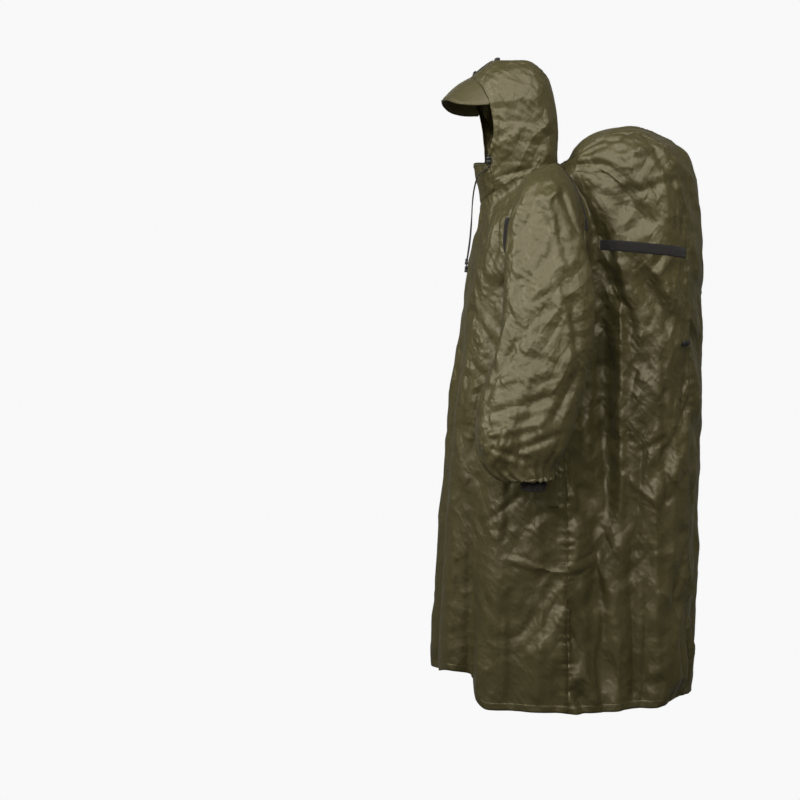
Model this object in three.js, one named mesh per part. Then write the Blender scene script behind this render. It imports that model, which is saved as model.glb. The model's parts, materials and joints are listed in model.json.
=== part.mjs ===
// A hooded rain poncho with raglan sleeves, and a back that is cut wide and stands out behind.
// It keeps the hollow form that it has when it is worn, with the back raised to its full volume.
// Millimetres. +Z is up, -Y is the way the hood faces, +X is the wearer's left.
// The origin is the middle of the neck, level with the top of the shoulders.
// The cloth is one skin, worked out as grids of points that share their edges, and each cut panel
// is a stretch of that skin made into a thin wall.
import * as THREE from 'three';

// Driving sizes
const CLOTH = 1.6;
const SEAM_GAP = 0.3;
const VISOR_THICK = 3.0;
const WEBBING_THICK = 1.4;
const WEBBING_LIFT = 0.6;
const BODY_AXIS_Y = 90;
const UNDERARM = [167, 30, -265];
const SIDE_HEM_Z = -1226;
const HOOD_TURN = { degrees: 5, centreY: -5, from: 30, over: 75 };
const CUFF = { x: 290, y: -4, halfX: 36, halfY: 25, ease: 4, top: -672.5, bottom: -709, thick: 3.2, gathers: 12 };
const CORD = { diameter: 3, sides: 8, endLength: 15, endRadius: 3.6 };
const LOCK = { radius: 7, height: 15, plungerRadius: 4.4, plungerHeight: 5, flatness: 0.65 };

// How many grid cells each stretch of the skin has
const CELLS = {
  raglan: 10, lower: 12, chin: 7, collarSide: 5, neckSide: 4,
  packSide: 10, packBackHalf: 4, hood: 8, visorSide: 8, visorDepth: 4, cuffRows: 2, cuffPerGather: 4,
};

const OLIVE = { color: 0x5f5a43, roughness: 0.5, metalness: 0 };
const BLACK_WEBBING = { color: 0x22221f, roughness: 0.8, metalness: 0 };
const BLACK_ELASTIC = { color: 0x26231f, roughness: 0.75, metalness: 0 };
const BLACK_PLASTIC = { color: 0x141414, roughness: 0.35, metalness: 0 };

// Small mathematics
const V = (x, y, z) => new THREE.Vector3(x, y, z);
const mix = (a, b, t) => a + (b - a) * t;
const smooth = (t) => {
  const c = Math.min(1, Math.max(0, t));
  return c * c * (3 - 2 * c);
};

// A curve through (xs, ys) that never swings past its points.
function monotone(xs, ys) {
  const n = xs.length;
  const slope = [];
  for (let k = 0; k < n - 1; k++) slope.push((ys[k + 1] - ys[k]) / (xs[k + 1] - xs[k]));
  const tangent = [slope[0]];
  for (let k = 1; k < n - 1; k++) {
    const [a, b] = [slope[k - 1], slope[k]];
    tangent.push(a * b <= 0 ? 0 : (2 * a * b) / (a + b));
  }
  tangent.push(slope[n - 2]);
  return (x) => {
    let k = 0;
    while (k < n - 2 && x > xs[k + 1]) k++;
    const h = xs[k + 1] - xs[k];
    const t = Math.min(1, Math.max(0, (x - xs[k]) / h));
    const [t2, t3] = [t * t, t * t * t];
    return (2 * t3 - 3 * t2 + 1) * ys[k] + (t3 - 2 * t2 + t) * h * tangent[k]
      + (3 * t2 - 2 * t3) * ys[k + 1] + (t3 - t2) * h * tangent[k + 1];
  };
}

// A space curve through points [x, y, z] at the parameters given.
function route(at, points) {
  const [x, y, z] = [0, 1, 2].map((c) => monotone(at, points.map((p) => p[c])));
  return (t) => V(x(t), y(t), z(t));
}

// Reads named columns of a table, each as a curve over its first column.
function columns(names, rows) {
  const at = rows.map((r) => r[0]);
  return Object.fromEntries(names.map((name, c) => [name, monotone(at, rows.map((r) => r[c + 1]))]));
}

// Side profile of the front, from the photograph's outline: height, then how far forward
const FRONT_PROFILE = columns(['y'], [
  [-1230, -224], [-1113, -222], [-1015, -216], [-869, -207], [-723, -195], [-614, -188], [-506, -179],
  [-398, -165], [-291, -153], [-220, -141], [-148, -125], [-113, -116], [-78, -112], [-49, -113],
]);

// The neck seam, from the middle of the throat round the left side to the nape
const NECK_FRONT = route([0, 0.3, 0.583, 0.8, 1],
  [[0, -112, -62], [46, -105, -54], [78, -82, -38], [95, -46, -22], [100, -8, -8]]);
const NECK_SIDE = route([0, 0.5, 1], [[100, -8, -8], [101, 25, 9], [88, 58, 24]]);

// The two raglan seams, from the neck down to the underarm
const FRONT_RAGLAN = route([0, 0.2, 0.4, 0.58, 0.73, 0.87, 1],
  [[100, -8, -8], [134, -28, -50], [149, -48, -104], [156, -53, -157], [162, -40, -203], [167, -9, -243],
    UNDERARM]);
const BACK_RAGLAN = route([0, 0.17, 0.34, 0.52, 0.7, 0.86, 1],
  [[88, 58, 24], [116, 89, -14], [138, 107, -57], [153, 118, -112], [161, 116, -172], [165, 90, -228],
    UNDERARM]);
const SIDE_SEAM = route([0, 0.13, 0.26, 0.4, 0.6, 0.8, 1],
  [UNDERARM, [173, 48, -389], [184, 64, -513], [198, 74, -647], [214, 79, -839], [227, 80, -1033],
    [236, 81, SIDE_HEM_Z]]);

// The hem's height across the front, from the middle (0) to the side seam (1)
const HEM = columns(['left', 'right'], [
  [0, -1176, -1176], [0.2, -1164, -1175], [0.34, -1153, -1181], [0.46, -1161, -1191],
  [0.56, -1205, -1206], [0.66, -1224, -1218], [1, SIDE_HEM_Z, SIDE_HEM_Z],
]);

// The back, row by row from the neck seam to the hem: the fold before the raised part, its flank,
// the seam at its rear corner, and the middle of the back
const BACK = columns(
  ['foldX', 'foldY', 'foldZ', 'flankX', 'flankY', 'flankZ', 'cornerX', 'cornerY', 'cornerZ', 'midY', 'midZ'],
  [
    [0, 76, 62, 28, 60, 64, 29, 36, 66, 28, 66, 28],
    [1, 90, 73, 6, 76, 74, 13, 46, 74, 23, 77, 28],
    [2, 104, 87, -8, 100, 98, 10, 74, 96, 31, 91, 39],
    [3.2, 114, 104, -32, 125, 124, 16, 93, 121, 58, 116, 73],
    [4.6, 121, 125, -70, 145, 168, 16, 106, 170, 85, 168, 101],
    [6, 124, 141, -112, 158, 226, -4, 113, 232, 90, 236, 111],
    [7.4, 122, 150, -158, 166, 272, -52, 117, 294, 60, 322, 88],
    [8.6, 119, 154, -206, 169, 288, -114, 121, 330, 12, 374, 52],
    [10, 118, 157, -256, 170, 292, -194, 124, 349, -76, 397, -34],
    [12, 116, 161, -415, 172, 290, -375, 127, 361, -300, 414, -280],
    [14, 122, 166, -575, 176, 286, -549, 129, 366, -493, 415, -480],
    [16, 142, 167, -735, 182, 284, -718, 130, 367, -682, 411, -670],
    [18, 172, 164, -895, 189, 282, -888, 132, 366, -870, 411, -862],
    [20, 200, 169, -1060, 197, 281, -1054, 134, 366, -1047, 408, -1040],
    [22, 219, 182, -1225, 205, 280, -1219, 137, 361, -1207, 394, -1206],
  ]);
// Just behind the fold the cloth stands out again: how far along it is from the fold to the flank
const RIDGE = { x: 0.82, y: 0.34, z: 0.36 };
const BACK_COLUMN_AT = [0, 2.6, 4.4, 7.2, 10, 14, 18];

// The left sleeve, ring by ring from the raglan seam to the cuff: the shoulder line's outer point,
// the inner point under the arm, and how far it reaches forward and back
const SLEEVE_ROWS = 14;
const SLEEVE = columns(['outX', 'outZ', 'inX', 'inZ', 'front', 'back'], [
  [0, 101, 10, 167, -265, -57, 118],
  [1, 131, 10, 173, -279, -60, 112],
  [2, 163, -4, 176, -298, -62, 109],
  [3, 193, -27, 177, -320, -63, 110],
  [4, 213, -60, 178, -346, -64, 116],
  [5, 231, -120, 180, -377, -66, 126],
  [6, 252, -204, 184, -414, -70, 136],
  [7, 274, -298, 189, -456, -77, 132],
  [8, 296, -396, 194, -506, -98, 120],
  [9, 316, -486, 201, -557, -124, 100],
  [10, 333, -562, 209, -603, -133, 84],
  [11, 344, -622, 219, -640, -128, 62],
  [12, 340, -662, 234, -668, -108, 42],
  [13, 340, -685, 241, -686, -70, 38],
  [14, CUFF.x + CUFF.halfX + CUFF.ease, -671, CUFF.x - CUFF.halfX - CUFF.ease, -671,
    CUFF.y - CUFF.halfY - CUFF.ease, CUFF.y + CUFF.halfY + CUFF.ease],
]);
const SLEEVE_SQUARENESS = 0.88;
const NECK_HALF_ANGLE = 0.41;

// The left side of the hood, from the face opening (0) to the neck seam (1): the crown seam, the
// upper side, the temple, the jaw and the seam of the chin guard
const HOOD = columns(
  ['crownX', 'crownY', 'crownZ', 'upperX', 'upperY', 'upperZ', 'templeX', 'templeY', 'templeZ',
    'jawX', 'jawY', 'jawZ', 'chinX', 'chinY', 'chinZ', 'midY', 'midZ'],
  [
    [0, 60, -129, 214, 82, -117, 190, 97, -105, 157, 96, -95, 90, 76, -101, 23, -143, 227],
    [0.2, 60, -76, 261, 88, -70, 232, 105, -60, 170, 104, -66, 85, 80, -97, 15, -78, 270],
    [0.4, 60, -18, 262, 90, -16, 236, 111, -18, 163, 109, -37, 72, 83, -93, 2, -18, 269],
    [0.6, 60, 33, 227, 90, 29, 198, 109, 20, 130, 108, -8, 50, 84, -89, -11, 38, 231],
    [0.8, 54, 59, 130, 78, 55, 112, 99, 42, 78, 104, 14, 24, 83, -85, -25, 64, 128],
    [1, 36, 66, 28, 64, 64, 29, 84, 59, 24, 100, -8, -8, 78, -82, -38, 66, 28],
  ]);
const HOOD_COLUMN_AT = [0, 3, 8, 14, 19];

// The chin guard's middle line, from its top edge down to the throat
const CHIN = columns(['y', 'z'], [[0, -128, 29], [0.3, -127, 5], [0.6, -119, -22], [1, -112, -62]]);

// The visor's rim, from its middle out to its left end
const VISOR_RIM = route([0, 0.33, 0.62, 0.84, 1],
  [[0, -205, 177], [46, -198, 173], [80, -174, 160], [96, -136, 155], [100, -107, 156]]);

// The large folds: the bearing round the body in degrees (0 is the front, 90 the wearer's left) at
// the top and at the bottom of the fold, the heights it starts and ends at, its half width, and
// how far it stands out (or in, where negative) at its top and at its bottom
const FOLDS = [
  ['front left pleat', 36, 34, -430, -1240, 30, -3, -52],
  ['front left crest', 50, 48, -430, -1240, 34, 2, 7],
  ['front middle left', 11, 9, -150, -1240, 26, -6, -12],
  ['front middle', -1, -2, -260, -1240, 24, 4, 8],
  ['front middle right', -12, -13, -150, -1240, 26, -7, -13],
  ['front right crest', -23, -22, -500, -1240, 26, 2, 10],
  ['front right pleat', -35, -34, -460, -1240, 26, -4, -30],
  ['left of the raglan', 50, 56, -90, -560, 22, -12, -5],
  ['right of the raglan', -50, -56, -90, -560, 22, -13, -5],
  ['left side hollow', 64, 62, -640, -1240, 34, -3, -11],
  ['right side hollow', -68, -64, -640, -1240, 34, -3, -10],
  ['left crease behind the seam', 104, 108, -560, -1240, 20, -3, -12],
  ['left ridge behind the seam', 116, 117, -300, -1240, 22, 2, 9],
  ['left groove before the corner', 127, 127, -260, -1240, 24, -7, -10],
  ['right crease behind the seam', -106, -109, -540, -1240, 22, -3, -10],
  ['right ridge behind the seam', -118, -118, -320, -1240, 22, 2, 8],
  ['right groove before the corner', -129, -130, -240, -1240, 24, -6, -9],
  ['back left groove', 168, 168, -330, -1240, 22, -3, -9],
  ['back right groove', -170, -169, -420, -1240, 22, -4, -8],
];
const FOLD_FADE_TOP = 190;

// The slanting creases on the back's sides, seen from the side: both ends, half width and depth
const SLANTS = [
  ['tape to toggle', 226, -206, 332, -374, 20, -13],
  ['beside tape to toggle', 262, -214, 345, -330, 15, 7],
  ['armhole to flank', 176, -222, 264, -470, 17, -9],
  ['above the tape', 196, -22, 262, -132, 16, -7],
  ['under the crown', 128, -40, 240, -96, 14, -6],
  ['low by the groove', 151, -839, 184, -1190, 12, -8],
  ['star forward', 120, -905, 200, -860, 12, 5],
];


function slantDepth(p) {
  let depth = 0;
  for (const [, y0, z0, y1, z1, halfWidth, full] of SLANTS) {
    const [dy, dz] = [y1 - y0, z1 - z0];
    const length = Math.hypot(dy, dz);
    const along = ((p.y - y0) * dy + (p.z - z0) * dz) / length;
    const aside = ((p.y - y0) * dz - (p.z - z0) * dy) / length / halfWidth;
    const ends = smooth((along + 20) / 60) * smooth((length + 20 - along) / 60);
    depth += full * ends * Math.exp(-aside * aside);
  }
  return depth * smooth((Math.abs(p.x) - 90) / 40);
}

function foldDepth(p) {
  const dy = BODY_AXIS_Y - p.y;
  const bearing = Math.atan2(p.x, dy) * 180 / Math.PI;
  const radius = Math.hypot(p.x, dy);
  let depth = 0;
  for (const [, bearingTop, bearingBottom, top, bottom, halfWidth, depthTop, depthBottom] of FOLDS) {
    if (p.z > top) continue;
    const down = Math.min(1, (top - p.z) / (top - bottom));
    let turn = bearing - mix(bearingTop, bearingBottom, down);
    if (turn > 180) turn -= 360;
    if (turn < -180) turn += 360;
    const away = turn * Math.PI / 180 * radius / halfWidth;
    depth += mix(depthTop, depthBottom, down) * smooth((top - p.z) / FOLD_FADE_TOP) * Math.exp(-away * away);
  }
  return depth;
}

// Every grid is rows of points. side is 1 for the wearer's left and -1 for the right.
const mirrored = (p, side) => V(p.x * side, p.y, p.z);
const ROWS = CELLS.raglan + CELLS.lower;
const FRONT_HALF = CELLS.chin + CELLS.collarSide;

function frontEdge(row) {
  return row <= CELLS.raglan ? FRONT_RAGLAN(row / CELLS.raglan) : SIDE_SEAM((row - CELLS.raglan) / CELLS.lower);
}

function backEdge(row) {
  return row <= CELLS.raglan ? BACK_RAGLAN(row / CELLS.raglan) : SIDE_SEAM((row - CELLS.raglan) / CELLS.lower);
}

// How far back each row of the front curves before its last stretch runs to the seam
const FRONT_SIDE = columns(['y'], [[0, -8], [4, -48], [8, -31], [10, -6], [13, 28], [16, 58], [22, 81]]);

// One row of the front, from the middle out to the seam, as a rounded quarter of a ring.
function frontPoint(row, across, hemZ) {
  const edge = frontEdge(row);
  const above = Math.min(1, row / CELLS.raglan);
  const down = Math.max(0, (edge.z - UNDERARM[2]) / (SIDE_HEM_Z - UNDERARM[2]));
  const midZ = row <= CELLS.raglan ? mix(-62, -258, above) : mix(-258, HEM.left(0), down);
  const opening = mix(62, 88, smooth(above)) * Math.PI / 180;
  const squareness = mix(1, 0.78, smooth(row / ROWS * 1.6));
  const turn = across * opening;
  const x = edge.x * (Math.sin(turn) / Math.sin(opening)) ** squareness;
  const drop = ((Math.cos(turn) - Math.cos(opening)) / (1 - Math.cos(opening))) ** squareness;
  const z = row <= CELLS.raglan
    ? mix(midZ, edge.z, across ** 1.6)
    : mix(mix(-258, UNDERARM[2], across ** 1.6), hemZ(across), down);
  const sideY = FRONT_SIDE.y(row);
  const y = mix(sideY, FRONT_PROFILE.y(midZ), Math.max(0, drop)) + (edge.y - sideY) * across ** 5;
  const p = V(x, y, z);
  const collar = 1 - smooth(row / 4);
  if (collar > 0) {
    const flat = V(edge.x * Math.sin(turn) / Math.sin(opening), 0, 0);
    const seam = NECK_FRONT(across);
    const shift = row === 0 ? seam.clone().sub(p) : seam.clone().sub(V(flat.x, p.y, p.z)).setZ(0);
    p.addScaledVector(shift, row === 0 ? 1 : collar * 0.5);
    if (row > 0 && across === 1) p.copy(edge);
  }
  return p;
}

function frontGrid() {
  const grid = [];
  for (let row = 0; row <= ROWS; row++) {
    const line = [];
    for (let i = -FRONT_HALF; i <= FRONT_HALF; i++) {
      const point = frontPoint(row, Math.abs(i) / FRONT_HALF, i < 0 ? HEM.right : HEM.left);
      line.push(mirrored(point, i < 0 ? -1 : 1));
    }
    grid.push(line);
  }
  return grid;
}

// One row of the back, from the raglan or side seam to the middle.
function backPoint(row, column) {
  const c = Object.fromEntries(Object.entries(BACK).map(([name, value]) => [name, value(row)]));
  const edge = backEdge(row);
  const points = [
    [edge.x, edge.y, edge.z], [c.foldX, c.foldY, c.foldZ],
    [mix(c.foldX, c.flankX, RIDGE.x), mix(c.foldY, c.flankY, RIDGE.y), mix(c.foldZ, c.flankZ, RIDGE.z)],
    [c.flankX, c.flankY, c.flankZ],
    [c.cornerX, c.cornerY, c.cornerZ], [0, c.midY, c.midZ], [-c.cornerX, c.cornerY, c.cornerZ],
  ];
  return route(BACK_COLUMN_AT, points)(column);
}

function packSideGrid(side) {
  const grid = [];
  for (let row = 0; row <= ROWS; row++) {
    const line = [];
    for (let i = 0; i <= CELLS.packSide; i++) line.push(mirrored(backPoint(row, i), side));
    grid.push(line);
  }
  return grid;
}

function packBackGrid() {
  const grid = [];
  for (let row = 0; row <= ROWS; row++) {
    const line = [];
    for (let i = -CELLS.packBackHalf; i <= CELLS.packBackHalf; i++) {
      const column = CELLS.packSide + CELLS.packBackHalf - Math.abs(i);
      line.push(mirrored(backPoint(row, column), i < 0 ? -1 : 1));
    }
    grid.push(line);
  }
  return grid;
}

// A sleeve ring starts at the underarm, goes up the front raglan, over the shoulder and down the back.
const SLEEVE_ROUND = 2 * CELLS.raglan + CELLS.neckSide;

function sleeveAngle(m) {
  const { raglan, neckSide } = CELLS;
  if (m <= raglan) return mix(-Math.PI, -NECK_HALF_ANGLE, m / raglan);
  if (m <= raglan + neckSide) return mix(-NECK_HALF_ANGLE, NECK_HALF_ANGLE, (m - raglan) / neckSide);
  return mix(NECK_HALF_ANGLE, Math.PI, (m - raglan - neckSide) / raglan);
}

function raglanLoop(m) {
  const { raglan, neckSide } = CELLS;
  if (m <= raglan) return FRONT_RAGLAN(1 - m / raglan);
  if (m <= raglan + neckSide) return NECK_SIDE((m - raglan) / neckSide);
  return BACK_RAGLAN((m - raglan - neckSide) / raglan);
}

function sleeveRing(row, m) {
  const angle = sleeveAngle(m);
  const bend = (v) => Math.sign(v) * Math.abs(v) ** SLEEVE_SQUARENESS;
  const outward = (1 + bend(Math.cos(angle))) / 2;
  const back = (1 + bend(Math.sin(angle))) / 2;
  return V(mix(SLEEVE.inX(row), SLEEVE.outX(row), outward), mix(SLEEVE.front(row), SLEEVE.back(row), back),
    mix(SLEEVE.inZ(row), SLEEVE.outZ(row), outward));
}

function sleeveGrid(side) {
  const grid = [];
  for (let row = 0; row <= SLEEVE_ROWS; row++) {
    const line = [];
    for (let m = 0; m < SLEEVE_ROUND; m++) {
      const seamShape = raglanLoop(m).sub(sleeveRing(0, m));
      const p = sleeveRing(row, m).addScaledVector(seamShape, 1 - smooth(row / 5));
      line.push(mirrored(p, side));
    }
    grid.push(line);
  }
  return grid;
}

// The neck seam under the hood's side panel, from the nape corner forward to the chin guard.
function neckUnderHood(column) {
  const { packSide, neckSide, collarSide, chin } = CELLS;
  if (column <= packSide) return backPoint(0, packSide - column);
  if (column <= packSide + neckSide) return NECK_SIDE(1 - (column - packSide) / neckSide);
  return NECK_FRONT((chin + collarSide - (column - packSide - neckSide)) / FRONT_HALF);
}

function hoodPoint(t, column) {
  const c = Object.fromEntries(Object.entries(HOOD).map(([name, value]) => [name, value(t)]));
  return route(HOOD_COLUMN_AT, [
    [c.crownX, c.crownY, c.crownZ], [c.upperX, c.upperY, c.upperZ], [c.templeX, c.templeY, c.templeZ],
    [c.jawX, c.jawY, c.jawZ], [c.chinX, c.chinY, c.chinZ],
  ])(column);
}

const HOOD_COLUMNS = CELLS.packSide + CELLS.neckSide + CELLS.collarSide;

function hoodSideGrid(side) {
  const grid = [];
  for (let row = 0; row <= CELLS.hood; row++) {
    const t = row / CELLS.hood;
    const line = [];
    for (let i = 0; i <= HOOD_COLUMNS; i++) {
      const toSeam = neckUnderHood(i).sub(hoodPoint(1, i));
      line.push(mirrored(hoodPoint(t, i).addScaledVector(toSeam, t ** 3), side));
    }
    grid.push(line);
  }
  return grid;
}

function crownGrid() {
  const grid = [];
  for (let row = 0; row <= CELLS.hood; row++) {
    const t = row / CELLS.hood;
    const seam = hoodPoint(t, 0);
    const line = [];
    for (let i = -CELLS.packBackHalf; i <= CELLS.packBackHalf; i++) {
      const out = Math.abs(i) / CELLS.packBackHalf;
      const nape = backPoint(0, CELLS.packSide + CELLS.packBackHalf * (1 - out));
      const p = row === CELLS.hood
        ? nape
        : V(seam.x * out, mix(HOOD.midY(t), seam.y, out ** 2), mix(HOOD.midZ(t), seam.z, out ** 2));
      line.push(mirrored(p, i < 0 ? -1 : 1));
    }
    grid.push(line);
  }
  return grid;
}

function chinGrid() {
  const grid = [];
  for (let row = 0; row <= CELLS.hood; row++) {
    const t = row / CELLS.hood;
    const line = [];
    for (let i = -CELLS.chin; i <= CELLS.chin; i++) {
      const out = Math.abs(i) / CELLS.chin;
      const side = hoodPoint(t, HOOD_COLUMNS);
      const p = V(side.x * Math.sin(out * 1.25) / Math.sin(1.25), mix(CHIN.y(t), side.y, out ** 2.2),
        mix(CHIN.z(t), side.z, out ** 1.6));
      if (i !== CELLS.chin && i !== -CELLS.chin) {
        p.addScaledVector(NECK_FRONT(Math.abs(i) / FRONT_HALF).sub(p), t ** 3);
      }
      if (row === CELLS.hood) p.copy(NECK_FRONT(Math.abs(i) / FRONT_HALF));
      line.push(mirrored(p, i < 0 ? -1 : 1));
    }
    grid.push(line);
  }
  return grid;
}

// The visor grows from the crown's front edge and from the top of the face opening.
function visorGrid() {
  const half = CELLS.packBackHalf + CELLS.visorSide;
  const crown = crownGrid()[0];
  const grid = [];
  for (let row = 0; row <= CELLS.visorDepth; row++) {
    const t = row / CELLS.visorDepth;
    const line = [];
    for (let i = -half; i <= half; i++) {
      const n = Math.abs(i);
      const root = n <= CELLS.packBackHalf
        ? crown[CELLS.packBackHalf + n]
        : hoodPoint(0, n - CELLS.packBackHalf);
      const rim = VISOR_RIM(n / half);
      const arch = 6 * Math.sin(Math.PI * t) * (1 - n / half);
      const p = root.clone().lerp(rim, t);
      p.z += arch;
      line.push(mirrored(p, i < 0 ? -1 : 1));
    }
    grid.push(line);
  }
  return grid;
}

// The hood is turned a little to the wearer's left.
function turnHood(grid) {
  return grid.map((line) => line.map((p) => {
    const { degrees, centreY, from, over } = HOOD_TURN;
    const angle = degrees * Math.PI / 180 * smooth((p.z - from) / over);
    const y = p.y - centreY;
    return V(p.x * Math.cos(angle) - y * Math.sin(angle), centreY + p.x * Math.sin(angle) + y * Math.cos(angle),
      p.z);
  }));
}

// The skin: every panel's grid, welded where edges meet, so that normals agree across a seam
const bodyInside = (p) => V(0, BODY_AXIS_Y, Math.min(p.z, -60));
const hoodInside = () => V(0, -25, 110);
const panels = [];

function addPanel(name, grid, inside, options = {}) {
  panels.push({ name, grid, inside, closed: false, thick: CLOTH, folded: false, ...options });
}

addPanel('front_panel', frontGrid(), bodyInside, { folded: true });
addPanel('pack_side_left', packSideGrid(1), bodyInside, { folded: true });
addPanel('pack_side_right', packSideGrid(-1), bodyInside, { folded: true });
addPanel('pack_back', packBackGrid(), bodyInside, { folded: true });
for (const [name, side] of [['left', 1], ['right', -1]]) {
  const middle = (p) => {
    const down = Math.min(1, Math.max(0, -p.z / 690));
    return V(side * mix(150, CUFF.x, down), 20, Math.min(-110, p.z));
  };
  addPanel(`sleeve_${name}`, sleeveGrid(side), middle, { closed: true });
  addPanel(`hood_side_${name}`, turnHood(hoodSideGrid(side)), hoodInside);
}
addPanel('hood_crown', turnHood(crownGrid()), hoodInside);
addPanel('chin_guard', turnHood(chinGrid()), hoodInside);
addPanel('visor', turnHood(visorGrid()), () => V(0, -140, 60), { thick: VISOR_THICK });

const key = (p) => `${Math.round(p.x * 50)},${Math.round(p.y * 50)},${Math.round(p.z * 50)}`;

function cellCorners(panel, r, c) {
  const { grid, closed } = panel;
  const next = closed ? (c + 1) % grid[r].length : c + 1;
  return [grid[r][c], grid[r][next], grid[r + 1][next], grid[r + 1][c]];
}

function cellColumns(panel) {
  return panel.grid[0].length - (panel.closed ? 0 : 1);
}

function faceNormal([a, b, c, d]) {
  return c.clone().sub(a).cross(d.clone().sub(b));
}

function findNormals() {
  const sums = new Map();
  for (const panel of panels) {
    let outward = 0;
    const cells = [];
    for (let r = 0; r < panel.grid.length - 1; r++) {
      for (let c = 0; c < cellColumns(panel); c++) {
        const corners = cellCorners(panel, r, c);
        const normal = faceNormal(corners);
        const middle = corners.reduce((s, p) => s.add(p), V(0, 0, 0)).divideScalar(4);
        outward += normal.dot(middle.clone().sub(panel.inside(middle)));
        cells.push([corners, normal]);
      }
    }
    panel.turned = outward < 0;
    for (const [corners, normal] of cells) {
      if (panel.turned) normal.negate();
      for (const p of corners) {
        const k = key(p);
        sums.set(k, (sums.get(k) ?? V(0, 0, 0)).add(normal));
      }
    }
  }
  for (const panel of panels) {
    panel.normals = panel.grid.map((line) => line.map((p) => sums.get(key(p)).clone().normalize()));
  }
}

// Folds fade out towards the neck and the raglan seams and run on across the side seams.
function foldShare(panel, r, c) {
  const below = smooth((r - CELLS.raglan) / 3);
  const last = panel.grid[r].length - 1;
  const fromEdge = panel.name.startsWith('pack_side') ? c : Math.min(c, last - c);
  const inward = panel.name === 'pack_back' ? 1 : smooth(fromEdge / 3);
  return mix(below, 1, inward) * smooth(r / 4);
}

function slantShare(panel, r, c) {
  return panel.name.startsWith('pack_side') ? smooth(Math.min(r, c) / 2) * smooth((CELLS.packSide - c) / 2) : 0;
}

function foldPanels() {
  for (const panel of panels.filter((p) => p.folded)) {
    panel.grid = panel.grid.map((line, r) => line.map((p, c) => (
      p.clone().addScaledVector(panel.normals[r][c],
        foldDepth(p) * foldShare(panel, r, c) + slantDepth(p) * slantShare(panel, r, c)))));
  }
}

// Moves a panel's outermost points half a seam gap into the panel, square to the seam.
function trimmed(panel) {
  const { grid, normals, closed } = panel;
  const rows = grid.length;
  const cols = grid[0].length;
  return grid.map((line, r) => line.map((p, c) => {
    const left = line[closed ? (c - 1 + cols) % cols : Math.max(0, c - 1)];
    const right = line[closed ? (c + 1) % cols : Math.min(cols - 1, c + 1)];
    const above = grid[Math.max(0, r - 1)][c];
    const below = grid[Math.min(rows - 1, r + 1)][c];
    const moved = p.clone();
    const inset = (seam, inner) => {
      const square = normals[r][c].clone().cross(seam).setLength(SEAM_GAP / 2);
      moved.addScaledVector(square, Math.sign(square.dot(inner.clone().sub(p))));
    };
    if (r === 0) inset(right.clone().sub(left), below);
    if (r === rows - 1) inset(right.clone().sub(left), above);
    if (!closed && c === 0) inset(below.clone().sub(above), right);
    if (!closed && c === cols - 1) inset(below.clone().sub(above), left);
    return moved;
  }));
}

// A closed wall from a grid of points: an outer and an inner sheet, joined along the open edges.
function wall(outer, inner, closed, turned) {
  const rows = outer.length;
  const cols = outer[0].length;
  const positions = [...outer.flat(), ...inner.flat()].flatMap((p) => [p.x, p.y, p.z]);
  const at = (sheet, r, c) => sheet * rows * cols + r * cols + (c % cols);
  const index = [];
  const quad = (a, b, c, d) => (turned ? index.push(a, c, b, a, d, c) : index.push(a, b, c, a, c, d));
  const lastCell = closed ? cols : cols - 1;
  for (let r = 0; r < rows - 1; r++) {
    for (let c = 0; c < lastCell; c++) {
      quad(at(0, r, c), at(0, r, c + 1), at(0, r + 1, c + 1), at(0, r + 1, c));
      index.push(...(turned
        ? [at(1, r, c), at(1, r, c + 1), at(1, r + 1, c + 1), at(1, r, c), at(1, r + 1, c + 1), at(1, r + 1, c)]
        : [at(1, r, c), at(1, r + 1, c + 1), at(1, r, c + 1), at(1, r, c), at(1, r + 1, c), at(1, r + 1, c + 1)]));
    }
  }
  for (let c = 0; c < lastCell; c++) {
    quad(at(1, 0, c), at(1, 0, c + 1), at(0, 0, c + 1), at(0, 0, c));
    quad(at(0, rows - 1, c), at(0, rows - 1, c + 1), at(1, rows - 1, c + 1), at(1, rows - 1, c));
  }
  if (!closed) {
    for (let r = 0; r < rows - 1; r++) {
      quad(at(0, r, 0), at(0, r + 1, 0), at(1, r + 1, 0), at(1, r, 0));
      quad(at(1, r, cols - 1), at(1, r + 1, cols - 1), at(0, r + 1, cols - 1), at(0, r, cols - 1));
    }
  }
  return asGeometry(positions, index);
}

function asGeometry(positions, index) {
  const geometry = new THREE.BufferGeometry();
  geometry.setAttribute('position', new THREE.Float32BufferAttribute(positions, 3));
  geometry.setIndex(index);
  geometry.computeVertexNormals();
  return geometry;
}

const poncho = new THREE.Group();

function addPiece(name, geometry, finish, parent = poncho) {
  const mesh = new THREE.Mesh(geometry, new THREE.MeshStandardMaterial(finish));
  mesh.name = name;
  parent.add(mesh);
  return mesh;
}

function addClothPanels() {
  findNormals();
  foldPanels();
  findNormals();
  for (const panel of panels) {
    const edge = trimmed(panel);
    const sheet = (share) => edge.map((line, r) => line.map((p, c) => (
      p.clone().addScaledVector(panel.normals[r][c], panel.thick * share))));
    addPiece(panel.name, wall(sheet(0.5), sheet(-0.5), panel.closed, panel.turned), OLIVE);
  }
}

// A point of a panel's outer face at fractional grid places, on the same triangles as the panel.
function onPanel(panel, row, column, lift) {
  const rows = panel.grid.length;
  const cols = panel.grid[0].length;
  const r = Math.min(Math.floor(row), rows - 2);
  const c = Math.min(Math.floor(column), cols - 2);
  const [v, u] = [row - r, column - c];
  const at = (i, j) => panel.grid[i][j].clone().addScaledVector(panel.normals[i][j], panel.thick / 2 + lift);
  const corner = at(r, c);
  if (u >= v) {
    const side = at(r, c + 1);
    return corner.clone().addScaledVector(side.clone().sub(corner), u)
      .addScaledVector(at(r + 1, c + 1).sub(side), v);
  }
  const below = at(r + 1, c);
  return corner.clone().addScaledVector(below.clone().sub(corner), v)
    .addScaledVector(at(r + 1, c + 1).sub(below), u);
}

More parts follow.
